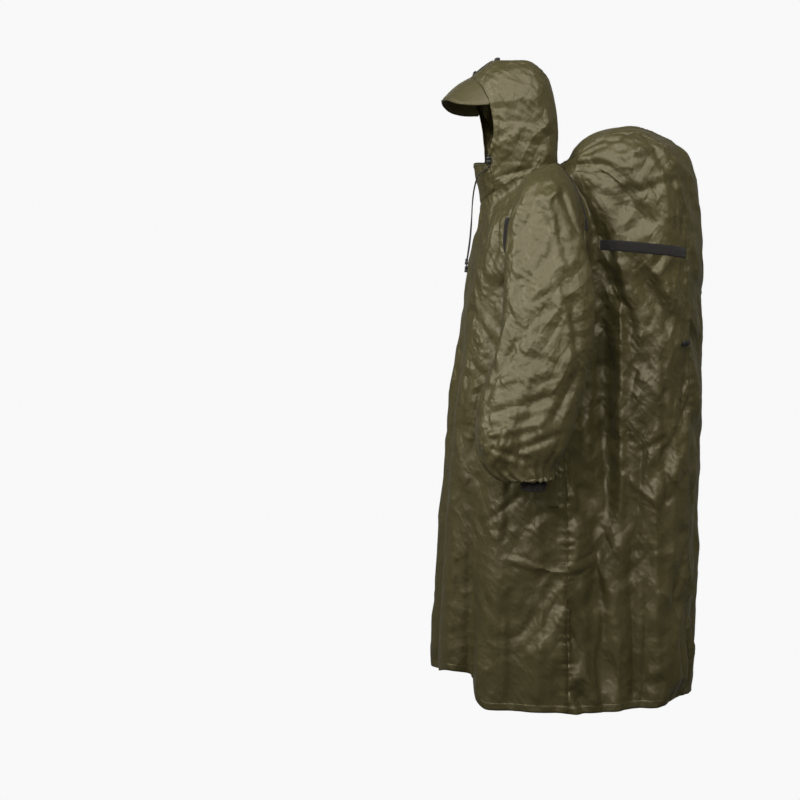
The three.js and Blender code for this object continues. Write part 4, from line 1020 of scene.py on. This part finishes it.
# %% Gathers above the cuffs, and the drawcord's tunnel
for name in SLEEVES:
    row, column = places_of(name)
    around = column / SLEEVE_ROUND * 2 * math.pi
    uneven = 15 * around + 1.3 * np.sin(3 * around + 0.7) + 0.9 * np.sin(5 * around)
    deep = 3.4 * smooth((row - 10.6) / 2.2) * (1 - 0.75 * smooth((row - 13.2) / 0.8))
    lift[index[name].ravel()] += deep * np.cos(uneven)
for name in ("hood_side_left", "hood_side_right", "chin_guard"):
    row, _ = places_of(name)
    lift[index[name].ravel()] += 1.5 * np.exp(-((row - 0.42) / 0.26) ** 2)
points = points + normals * lift[:, None]
normals = find_normals(points)
print("seam points:", len(pull), "of", len(points))

# %% [markdown]
# ## From one skin to sewn panels
# The skin is now cut back into its panels. Each becomes a thin closed shell, so its inside can be
# seen up the sleeves and under the hem, and each stands for the plain wall that it was cut from.

# %% Make a mesh object
def make_piece(name, verts, faces, material, smooth_faces=None):
    mesh = bpy.data.meshes.new(name)
    mesh.from_pydata((np.asarray(verts) * MM).tolist(), [], faces)
    mesh.materials.append(material)
    flags = np.ones(len(faces), bool) if smooth_faces is None else smooth_faces
    mesh.polygons.foreach_set("use_smooth", flags)
    mesh.update()
    piece = bpy.data.objects.new(name, mesh)
    bpy.context.scene.collection.objects.link(piece)
    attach(piece, "root")
    return piece


def shell(name, quads, at, directions, thick, material):
    """A thin closed shell on both sides of these faces."""
    used, local = np.unique(quads, return_inverse=True)
    local = local.reshape(-1, 4)
    outer = at[used] + directions[used] * thick / 2
    inner = at[used] - directions[used] * thick / 2
    faces = [tuple(dict.fromkeys(q)) for q in local.tolist() if len(set(q)) > 2]
    count = {}
    for face in faces:
        for a, b in zip(face, face[1:] + face[:1]):
            count[(a, b)] = count.get((a, b), 0) + 1
    n = len(used)
    rim = [(b, a, a + n, b + n) for a, b in count if (b, a) not in count]
    back = [tuple(v + n for v in reversed(face)) for face in faces]
    flags = np.array([True] * (2 * len(faces)) + [False] * len(rim))
    return make_piece(name, np.vstack([outer, inner]), faces + back + rim, material, flags)


# %% Cut the panels
CLOTH_THICK = 0.7
panels = {}
for name, quads in QUADS.items():
    panels[name] = shell(name + "_cloth", quads, points, normals, CLOTH_THICK, NYLON)
    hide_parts(name)
print("panels cut:", len(panels))

# %% [markdown]
# ## The visor
# The visor is the only stiff cloth: a thin board sewn between two layers. It grows from the crown's
# front edge, and its rim is bound. Here it is a thick arched sheet with a rounded rim, sunk rows of
# stitching that follow the rim, and a rolled binding.

# %% The visor's sheet
VISOR_THICK, VISOR_HALF, VISOR_ARCH = 3.0, 12, 6
visor_across, visor_deep = steps((-VISOR_HALF, VISOR_HALF, 6)), np.linspace(0, 1, 15)


def visor_line(t):
    rows = []
    for n in np.abs(visor_across):
        root = (crown_row(0, np.array([n / BACK_HALF]))[0] if n <= BACK_HALF
                else hood_row(0, np.array([n - BACK_HALF]))[0])
        p = mix(root, VISOR_RIM(n / VISOR_HALF), t)
        p[2] += VISOR_ARCH * math.sin(math.pi * t) * (1 - n / VISOR_HALF)
        rows.append(p)
    return np.array(rows) * each_side(visor_across)


visor_grid = turned(np.array([visor_line(t) for t in visor_deep]))


def grid_directions(grid, up):
    """Unit directions across a grid's surface, on the side that faces up."""
    out = unit(np.cross(np.gradient(grid, axis=0), np.gradient(grid, axis=1)))
    return out if (out @ np.array(up)).mean() > 0 else -out


def sheet_of(name, grid, directions, top, under, material, closed=False, uv=None):
    """A closed sheet from a grid of points, at two heights along its directions."""
    rows, columns = grid.shape[:2]
    verts = np.vstack([(grid + directions * up).reshape(-1, 3) for up in (top, under)])
    half, faces = rows * columns, []
    last, foot = columns if closed else columns - 1, (rows - 1) * columns
    for r in range(rows - 1):
        for c in range(last):
            a, b = r * columns + c, r * columns + (c + 1) % columns
            d, e = a + columns, b + columns
            faces += [(a, b, e, d), (a + half, d + half, e + half, b + half)]
    rim = [(c, (c + 1) % columns) for c in range(last)]
    rim += [(foot + (c + 1) % columns, foot + c) for c in range(last)]
    if not closed:
        rim += [(start + columns, start) for start in range(0, foot, columns)]
        rim += [(end, end + columns) for end in range(columns - 1, foot, columns)]
    flags = np.arange(len(faces) + len(rim)) < len(faces)
    faces += [(b, a, a + half, b + half) for a, b in rim]
    a, b, e, _ = faces[0]
    if np.cross(verts[b] - verts[a], verts[e] - verts[b]) @ directions.reshape(-1, 3)[a] < 0:
        faces = [f[::-1] for f in faces]
    piece = make_piece(name, verts, faces, material, flags)
    if uv is not None:
        layer = piece.data.uv_layers.new(name="length")
        both = np.concatenate([uv.reshape(-1, 2)] * 2)
        corner = np.empty(len(piece.data.loops), int)
        piece.data.loops.foreach_get("vertex_index", corner)
        layer.data.foreach_set("uv", both[corner].ravel())
    return piece


visor_out = grid_directions(visor_grid, (0, 0, 1))
share = np.broadcast_to(visor_deep[:, None], visor_grid.shape[:2])
round_rim = np.sqrt(np.clip(1 - ((share - 0.93) / 0.07).clip(0, 1) ** 2, 0.02, 1))
rows_of_stitch = (0.35 * np.exp(-((share - 0.80) / 0.025) ** 2)
                  + 0.25 * np.exp(-((share - 0.5) / 0.03) ** 2))
visor_top = (VISOR_THICK / 2 * round_rim - rows_of_stitch)[..., None]
visor_under = -VISOR_THICK / 2 * round_rim[..., None]
visor = sheet_of("visor_cloth", visor_grid, visor_out, visor_top, visor_under, VISOR_NYLON)
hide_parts("visor")


# %% A rolled tube along a line, for bindings and cords
def ring_faces(rings, sides):
    """The faces between rings of points, and one at each end."""
    faces = [(k * sides + j, k * sides + (j + 1) % sides,
              (k + 1) * sides + (j + 1) % sides, (k + 1) * sides + j)
             for k in range(rings - 1) for j in range(sides)]
    return faces + [tuple(range(sides))[::-1], tuple(range((rings - 1) * sides, rings * sides))]


def tube(name, line, radius, sides, material, ribs=0.0, turns=0.0):
    """A closed tube. Its surface waves in and out by ribs, as braid or rolled cloth does."""
    line = np.asarray(line, float)
    tangent = unit(np.gradient(line, axis=0))
    up = np.array([0.0, 0, 1]) if abs(tangent[0][2]) < 0.9 else np.array([1.0, 0, 0])
    verts, length = [], 0.0
    for k, (at, t) in enumerate(zip(line, tangent)):
        length += 0 if k == 0 else float(np.linalg.norm(at - line[k - 1]))
        up = unit(up - t * (up @ t))
        side = np.cross(t, up)
        for j in range(sides):
            angle = j / sides * 2 * math.pi
            wave = math.cos(angle * 4 + turns * length) * math.cos(angle * 4 - turns * length)
            reach = radius - ribs + ribs * wave
            verts.append(at + (up * math.cos(angle) + side * math.sin(angle)) * reach)
    return make_piece(name, verts, ring_faces(len(line), sides), material)


def even(line, step):
    """The same line with points a step apart."""
    at = gone(line)
    return Curve(at, line)(np.linspace(0, at[-1], max(3, int(round(at[-1] / step)) + 1)))


visor_rim = visor_grid[-1] + (visor_grid[-1] - visor_grid[-2]) * 0.04
tube("visor_binding", even(visor_rim, 3), 2.1, 12, VISOR_NYLON, 0.15, 0.9)

# %% [markdown]
# ## Webbing and straps
# Black tapes carry the strain where a seam would tear. A tape lies on the cloth and follows it, so
# every point of it is settled onto the nearest cloth and then lifted by its own thickness.

# %% Settle points on the cloth
def tree_for(*names):
    return tree_of(points, np.unique(np.concatenate([index[n].ravel() for n in names])))


def settled(places, tree, lift_mm=0.0):
    """Points moved along the cloth's direction onto it, and those directions."""
    out, ways = [], []
    for p in np.asarray(places, float):
        found = tree.find_n(p, 6)
        near = np.array([1 / (d + 1.5) ** 2 for _, _, d in found])
        number = [k for _, k, _ in found]
        way = unit((normals[number] * near[:, None]).sum(0))
        height = ((points[number] - p) @ way * near).sum() / near.sum()
        out.append(p + way * (height + lift_mm))
        ways.append(way)
    return np.array(out), np.array(ways)


def place(name, row, column):
    """The final point of a panel at a row and column of its cut."""
    rows, columns = PLACES[name]
    r = np.clip(np.interp(row, rows, np.arange(len(rows))), 0, len(rows) - 1.001)
    c = np.clip(np.interp(column, columns, np.arange(len(columns))), 0, len(columns) - 1.001)
    (i, u), (j, v) = (int(r), r % 1), (int(c), c % 1)
    grid = points[index[name]]
    return ((grid[i, j] * (1 - v) + grid[i, j + 1] * v) * (1 - u)
            + (grid[i + 1, j] * (1 - v) + grid[i + 1, j + 1] * v) * u)


# %% A tape along a line on the cloth
TAPE_THICK, TAPE_LIFT = 1.3, 0.55


def tape(name, line, width, tree, material=WEBBING):
    """A strap whose every point is settled on the cloth, with thin edges."""
    line, ways = settled(even(line, 4), tree)
    side = unit(np.cross(np.gradient(line, axis=0), ways))
    across = np.array([-0.5, -0.46, -0.3, -0.1, 0.1, 0.3, 0.46, 0.5])
    flat = (line[:, None] + side[:, None] * (across * width)[None, :, None]).reshape(-1, 3)
    grid, way = settled(flat, tree)
    shape = (len(line), len(across), 3)
    grid, way = grid.reshape(shape), way.reshape(shape)
    edge = np.where(np.abs(across) > 0.48, 0.45, 1.0)[None, :, None]
    length = gone(line) * MM
    uv = np.stack(np.broadcast_arrays(across[None, :] * width * MM, length[:, None]), -1)
    top = TAPE_LIFT + TAPE_THICK * edge
    piece = sheet_of(name, grid, way, top, TAPE_LIFT, material, uv=uv)
    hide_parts(name.removesuffix("_strap"))
    return piece


def seen_from_side(name, side, y, z):
    """The outermost cloth point of a panel at y and z."""
    cloth = points[index[name].ravel()]
    near = np.hypot(cloth[:, 1] - y, cloth[:, 2] - z)
    close = np.argsort(near)[:6]
    weight = 1 / (near[close] + 1) ** 2
    return np.array([(cloth[close, 0] * weight).sum() / weight.sum(), y, z])


def column_in(name, row, distance):
    """The column that lies a distance in from a panel's first seam, measured along one row."""
    rows, columns = PLACES[name]
    line = GRIDS[name][np.abs(rows - row).argmin()]
    return float(np.interp(distance, gone(line), columns))


# Width, then y and z of both ends as seen from the side
PACK_TAPE_WIDE, PACK_TAPE_Y, PACK_TAPE_Z = 24, (158, 350), (-165.2, -184.3)
BACK_TAPE_WIDE, BACK_TAPE_IN, BACK_TAPE_ROWS = 13, 9, (1, 6)
# Name, distance in from the seam, width, first and last row, material and slot
FRONT_STRAPS = [("front_tape", 9, 12, 3.9, 6.7, WEBBING, "black_webbing"),
                ("side_tab", 25, 22, 14.95, 16.22, NYLON, "olive_cloth")]
hardware_on = {name: [] for name in panels}
for name, side in SIDES.items():
    flank = "pack_side_" + name
    line = [seen_from_side(flank, side, mix(*PACK_TAPE_Y, k / 40), mix(*PACK_TAPE_Z, k / 40))
            for k in range(41)]
    hardware_on[flank].append(
        tape(f"pack_tape_{name}_strap", line, PACK_TAPE_WIDE, tree_for(flank)))
    line = [place(flank, row, column_in(flank, row, BACK_TAPE_IN))
            for row in np.linspace(*BACK_TAPE_ROWS, 24)]
    hardware_on[flank].append(
        tape(f"back_tape_{name}_strap", line, BACK_TAPE_WIDE, tree_for(flank)))
    edge, inner = (2 * FRONT_HALF, 2 * FRONT_HALF - 1) if side > 0 else (0, 1)
    for label, inset, width, first, last, finish, slot in FRONT_STRAPS:
        halfway = (first + last) / 2
        cell = np.linalg.norm(place("front_panel", halfway, edge)
                              - place("front_panel", halfway, inner))
        line = [place("front_panel", row, edge + (inner - edge) * inset / cell)
                for row in np.linspace(first, last, 20)]
        hardware_on["front_panel"].append(
            tape(f"{label}_{name}_strap", line, width, tree_for("front_panel"), finish))
print("straps:", sum(len(straps) for straps in hardware_on.values()))

# %% [markdown]
# ## Elastic cuffs
# The elastic is sewn in stretched, so when it relaxes the cuff closes into many small even gathers,
# with three rows of stitching that pull it into soft ribs.

# %% Two cuffs
CUFF_X, CUFF_Y, CUFF_HALF_X, CUFF_HALF_Y, CUFF_TOP, CUFF_FOOT = 290, -4, 36, 25, -672.5, -709
GATHERS, GATHER_DEEP, RIBS, RIB_DEEP, HALF_THICK = 36, 1.1, 3, 0.55, 1.3
# Metres that the elastic's pattern runs for each radian round the cuff, and down it
ROUND_METRES, DOWN_METRES = 0.031, 0.0365
cuffs = {}
for name, side in SIDES.items():
    around, down = np.linspace(0, 2 * math.pi, 8 * GATHERS + 1)[:-1], np.linspace(0, 1, 15)
    u, v = np.meshgrid(down, around, indexing="ij")
    gather = GATHER_DEEP * np.cos(GATHERS * v + 0.9 * np.sin(4 * v))
    gather = gather * (0.6 + 0.4 * np.sin(math.pi * u))
    ribs = RIB_DEEP * np.cos(u * 2 * RIBS * math.pi)
    grow = gather + ribs + 1.5 * np.sin(math.pi * u)
    grid = np.stack([side * (CUFF_X + (CUFF_HALF_X + grow) * np.cos(v)),
                     CUFF_Y + (CUFF_HALF_Y + grow) * np.sin(v), mix(CUFF_TOP, CUFF_FOOT, u)], -1)
    out = np.stack([side * np.cos(v), np.sin(v), v * 0], -1)
    edge = np.sqrt(np.clip(1 - (np.abs(2 * u - 1) ** 10), 0.15, 1))[..., None]
    uv = np.stack([v * ROUND_METRES, u * DOWN_METRES], -1)
    cuffs[name] = sheet_of(f"cuff_{name}_elastic", grid, out, HALF_THICK * edge,
                           -HALF_THICK * edge, ELASTIC, closed=True, uv=uv)
    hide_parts("cuff_" + name)
print("gathers in a cuff:", GATHERS)

# %% [markdown]
# ## Toggles
# A cord lock is a barrel with a hole across it and a sprung plunger. The frame has each one as a
# plain turned body, so its axes are read off that body, and a finer lock takes the same place.

# %% The axes of a plain body in the frame
def axes_of(name):
    """A node's centre, its long axis towards the thinner end, its flat axis and the third one."""
    node = frame["nodes"][name]
    body = np.array([tuple(v.co) for v in node.data.vertices]) / MM
    low, high = [np.array(corner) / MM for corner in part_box(name)]
    body = body - (body.min(0) + body.max(0)) / 2 + (low + high) / 2
    centre = (low + high) / 2
    _, ways = np.linalg.eigh(np.cov((np.unique(body.round(2), axis=0) - centre).T))
    flat, long = ways[:, 0], ways[:, 2]
    across = np.cross(long, flat)
    height, off = (body - centre) @ long, np.abs((body - centre) @ across)
    if off[height > height.max() - 0.5].max() > off[height < height.min() + 0.5].max():
        long = -long
    spread = (body - centre) @ long
    middle = centre + long * (spread.max() + spread.min()) / 2
    return middle, long, flat, np.cross(long, flat)


# %% Lock bodies
def lathe(profile, sides):
    """A body of revolution from (height, radius) pairs."""
    angles = [j / sides * 2 * math.pi for j in range(sides)]
    verts = [(r * math.cos(a), r * math.sin(a), h) for h, r in profile for a in angles]
    return np.array(verts), ring_faces(len(profile), sides)


LOCK_PROFILE = [(-10, 5.6), (-9.6, 6.3), (-8.8, 6.9), (-3.4, 7.0), (-3.0, 6.6), (-1.8, 6.6),
                (-1.4, 7.0), (3.2, 7.0), (4.2, 6.8), (4.9, 6.0), (5.0, 4.5), (5.2, 4.3),
                (8.6, 4.3), (8.8, 4.7), (9.5, 4.6), (10, 3.6)]
END_PROFILE = [(-7.5, 2.2), (-7.0, 3.0), (-6.2, 3.5), (-2, 3.6), (-1.6, 3.2), (-0.6, 3.2),
               (-0.2, 3.6), (6.2, 3.5), (7.1, 3.0), (7.5, 1.9)]
LOCK_FLATNESS = 0.65


def turned_piece(name, profile, flatness):
    middle, long, flat, across = axes_of(name)
    verts, faces = lathe(profile, 28)
    at = middle + np.outer(verts[:, 0], across) + np.outer(verts[:, 1] * flatness, flat)
    at = at + np.outer(verts[:, 2], long)
    if np.cross(across, flat) @ long < 0:
        faces = [f[::-1] for f in faces]
    piece = make_piece(name + "_lock", at, faces, PLASTIC)
    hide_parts(name)
    return piece


locks = {name: turned_piece(name, LOCK_PROFILE, LOCK_FLATNESS)
         for name in frame["nodes"] if "toggle" in name}
ends = {name: turned_piece(name, END_PROFILE, 1.0) for name in ("cord_end_left", "cord_end_right")}
print("locks:", len(locks), "cord ends:", len(ends))

# %% [markdown]
# ## Cords
# Two free ends hang from the locks beside the chin. Each is 3 mm braided cord, limp, and ends in a
# small stopper. A thinner cord loops down the crown to the visor, and one runs along the chin
# guard.

# %% The drawcords
DRAWCORDS = {
    "left": [(87.03, -97.6, 22.99), (86.19, -97.05, 16.06), (71, -121, -4), (72, -128, -24),
             (73, -132, -46), (73, -134, -70), (73, -135, -94), (74, -136, -120),
             (74, -138, -146), (75, -141, -172), (75, -145, -196), (75, -147, -212)],
    "right": [(-87.12, -97.82, 23.13), (-86.44, -97.37, 16.17), (-71, -119, -4), (-71, -125, -24),
              (-71, -128, -46), (-72, -130, -68), (-72, -131, -90), (-73, -133, -114),
              (-73, -135, -138), (-73, -138, -162), (-74, -142, -190)]}
CORD_RADIUS, CORD_STEP = 1.5, 1.6


def through(knots, count):
    """A smooth curve through the knots, as the plain cord in the frame follows."""
    knots = np.asarray(knots, float)
    knots = np.vstack([2 * knots[0] - knots[1], knots, 2 * knots[-1] - knots[-2]])
    out = []
    for i in range(1, len(knots) - 2):
        p = knots[i - 1:i + 3]
        t = np.concatenate([[0], np.cumsum(np.linalg.norm(np.diff(p, axis=0), axis=1) ** 0.5)])

        def between(first, last, a, b, x):
            return (a * (t[last] - x) + b * (x - t[first])) / (t[last] - t[first])

        for x in np.linspace(t[1], t[2], count, endpoint=False):
            one, two, three = [between(j, j + 1, p[j], p[j + 1], x) for j in range(3)]
            out.append(between(1, 2, between(0, 2, one, two, x), between(1, 3, two, three, x), x))
    return np.array(out + [knots[-2]])


for name in SIDES:
    line = even(through(DRAWCORDS[name], 12), CORD_STEP)
    cord = tube(f"drawcord_{name}_braid", line, CORD_RADIUS, 16, BRAID, 0.1, 1.1)
    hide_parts("drawcord_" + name)

# %% The crown cord, its knot, and the cord along the chin guard
CROWN_RADIUS, CROWN_GAP, CHIN_RADIUS, BRAID_TURNS = 1.3, 3.2, 1.25, 1.2
# Rows of the crown between which the cord runs, and the row of its knot
CROWN_FROM, CROWN_TO, KNOT_ROW = 1.42, 0.3, 0.42
KNOT_WIDE, KNOT_HIGH, KNOT_HALF_LONG, KNOT_LIFT = 4.6, 2.3, 3.4, 3.4
KNOT_TURNS, KNOT_POINTS = 2.6, 60
crown_tree = tree_for("hood_crown")


def on_crown(t):
    """The middle of the crown at a row, and the direction across it."""
    before, at, after = [place("hood_crown", t, BACK_HALF + k) for k in (-1, 0, 1)]
    return at, unit(after - before)


run = []
for side, order in ((-1, range(13)), (1, range(12, -1, -1))):
    for k in order:
        at, aside = on_crown(mix(CROWN_FROM, CROWN_TO, k / 12))
        run.append(at + side * CROWN_GAP * aside)
line, _ = settled(even(run, 3), crown_tree, CROWN_RADIUS + 0.6)
crown_cord = tube("crown_cord_braid", even(line, CORD_STEP), CROWN_RADIUS, 14, BRAID,
                  0.09, BRAID_TURNS)
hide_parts("crown_cord")
middle, aside = on_crown(KNOT_ROW)
(knot_at,), (knot_way,) = settled([middle], crown_tree)
angle = np.linspace(0, 2 * math.pi * KNOT_TURNS, KNOT_POINTS)
advance = np.linspace(-KNOT_HALF_LONG, KNOT_HALF_LONG, KNOT_POINTS)
knot = (knot_at + knot_way * KNOT_LIFT + np.outer(KNOT_WIDE * np.cos(angle), aside)
        + np.outer(KNOT_HIGH * np.sin(angle), knot_way)
        + np.outer(advance, np.cross(knot_way, aside)))
tube("crown_knot", knot, CROWN_RADIUS, 12, BRAID, 0.09, BRAID_TURNS)
chin_line = [place("chin_guard", 0.0, c) + np.array([0, 0, 1.2])
             for c in np.linspace(0.1, 2 * CHIN_HALF - 0.1, 60)]
tube("chin_cord", even(chin_line, CORD_STEP), CHIN_RADIUS, 12, BRAID, 0.08,
     BRAID_TURNS)

# %% [markdown]
# ## Hems and stitching
# The hem is turned up and sewn down, which makes it twice as thick and slightly stiffer. Every seam
# has rows of stitches beside it. Each stitch is a small eight-sided grain of thread, and all the
# stitches of one panel are one mesh.

# %% The turned hem
# How far the turned layer stands off the panel, from its sewn edge down to the fold
HEM_STAND = np.array([-0.2, 0.25, 0.4, 0.45, 0.45])
for name in BODY:
    numbers = index[name][-len(HEM_STAND):]
    top = (CLOTH_THICK / 2 + HEM_STAND)[:, None, None]
    hem = sheet_of(name + "_hem", points[numbers], normals[numbers], top, 0.0, NYLON)
    hardware_on[name].append(hem)
for name in SIDES:
    hardware_on["sleeve_" + name].append(cuffs[name])


# %% Rows of stitches
STITCH_LONG, STITCH_STEP, STITCH_WIDE, STITCH_HIGH = 2.5, 3.6, 0.6, 0.5
GRAIN = [(0, 2, 4), (2, 1, 4), (1, 3, 4), (3, 0, 4), (2, 0, 5), (1, 2, 5), (3, 1, 5), (0, 3, 5)]


def stitches(name, rows):
    """rows holds (edge points, points inside the edge, distance from the edge)."""
    verts, faces, tree = [], [], tree_for(name)
    for edge, inner, offset in rows:
        line = even(edge + unit(inner - edge) * offset, STITCH_STEP)
        along = unit(np.gradient(line, axis=0))
        line, way = settled(line, tree, CLOTH_THICK / 2 + 0.05)
        side = np.cross(along, way)
        for p, a, s, w in zip(line, along, side, way):
            base = len(verts)
            verts += [p - a * STITCH_LONG / 2, p + a * STITCH_LONG / 2, p - s * STITCH_WIDE / 2,
                      p + s * STITCH_WIDE / 2, p + w * STITCH_HIGH / 2, p - w * STITCH_HIGH / 2]
            faces += [tuple(base + v for v in face) for face in GRAIN]
    hardware_on[name].append(make_piece(name + "_stitches", verts, faces, THREAD))
    return len(verts) // 6


def edge_rows(name, kind, *offsets):
    """Rows of stitches at these distances from one edge of a panel."""
    grid = points[index[name]]
    pick = {"first column": (grid[:, 0], grid[:, 2]), "last column": (grid[:, -1], grid[:, -3]),
            "first row": (grid[0], grid[2]), "last row": (grid[-1], grid[-3])}[kind]
    return [(*pick, offset) for offset in offsets]


sewn = {"front_panel": [("first column", 2.2, 7), ("last column", 2.2, 7), ("last row", 13)],
        **pair("pack_side", [("last column", 2.2, 6), ("last row", 13)]),
        "pack_back": [("last row", 13)], **pair("sleeve", [("first row", 2.2, 7)]),
        **pair("hood_side", [("first column", 2.2), ("first row", 12)]),
        "chin_guard": [("last row", 2.2), ("first row", 12)], "hood_crown": [("last row", 2.2)]}
total = 0
for name, edges in sewn.items():
    total += stitches(name, [row for edge in edges for row in edge_rows(name, *edge)])
print("stitches:", total)

# %% [markdown]


# %% [markdown]
# ## The studio
# A plain pale floor and backdrop, a dim room, and soft lights high on the camera's side and in
# front, so that the shoulders and hood are lighter than the skirt. The lights behind it only fill,
# and leave no highlight.

# %% Floor, lights and world
scene = bpy.context.scene
FLOOR_Z, FLOOR_HALF, ROOM_HALF, ROOM_TOP, PAPER = -1.47, 9, 8.9, 8.0, 0.945


def backdrop(name, verts, faces):
    """White paper that is evenly lit by itself and throws no light on the garment."""
    mesh = bpy.data.meshes.new(name)
    mesh.from_pydata(verts, [], faces)
    finish = Finish(name + "_paper", (0, 0, 0), 1.0)
    finish.shader.inputs["Specular IOR Level"].default_value = 0
    finish.shader.inputs["Emission Color"].default_value = (PAPER, PAPER, PAPER, 1)
    finish.shader.inputs["Emission Strength"].default_value = 1
    mesh.materials.append(finish.material)
    paper = bpy.data.objects.new(name, mesh)
    scene.collection.objects.link(paper)
    paper.visible_diffuse = paper.visible_glossy = paper.visible_shadow = False


def square(half, z):
    return [(-half, -half, z), (half, -half, z), (half, half, z), (-half, half, z)]


backdrop("floor", square(FLOOR_HALF, FLOOR_Z), [(0, 1, 2, 3)])
backdrop("backdrop", square(ROOM_HALF, FLOOR_Z - 0.1) + square(ROOM_HALF, ROOM_TOP),
         [(0, 1, 5, 4), (1, 2, 6, 5), (2, 3, 7, 6), (3, 0, 4, 7), (4, 5, 6, 7)])


def area_light(name, at, aim, size, power, shines=True):
    """A square soft box that the camera doesn't see. One may light without a highlight."""
    lamp = bpy.data.lights.new(name, "AREA")
    lamp.shape, lamp.size, lamp.energy = "SQUARE", size, power
    light = bpy.data.objects.new(name, lamp)
    light.location = at
    light.rotation_euler = (Vector(aim) - Vector(at)).to_track_quat("-Z", "Y").to_euler()
    light.visible_camera, light.visible_glossy = False, shines
    scene.collection.objects.link(light)


area_light("key", (1.75, 0.35, 1.5), (0, 0.12, -0.3), 2.2, 45)
area_light("low", (2.8, -1.1, 0.75), (0, 0.12, -0.7), 0.7, 20)
area_light("front", (1.4, -2.4, 1.5), (0, 0.0, -0.3), 1.6, 54)
area_light("back", (2.6, 3.0, 1.6), (0, 0.2, -0.4), 1.0, 30, False)
area_light("far_side", (-3.0, -0.8, 1.8), (0, 0.1, -0.3), 1.6, 60, False)
area_light("bounce", (0.5, -1.3, -0.35), (0, -0.15, 0.15), 0.6, 6, False)
area_light("behind", (-1.0, 4.0, 1.8), (0, 0.2, -0.4), 1.6, 50, False)
world = bpy.data.worlds.new("room")
world.use_nodes = True
room = world.node_tree.nodes["Background"].inputs
room["Color"].default_value, room["Strength"].default_value = (1, 0.95, 0.8, 1), 0.115
scene.world = world
scene.view_settings.view_transform = "Standard"
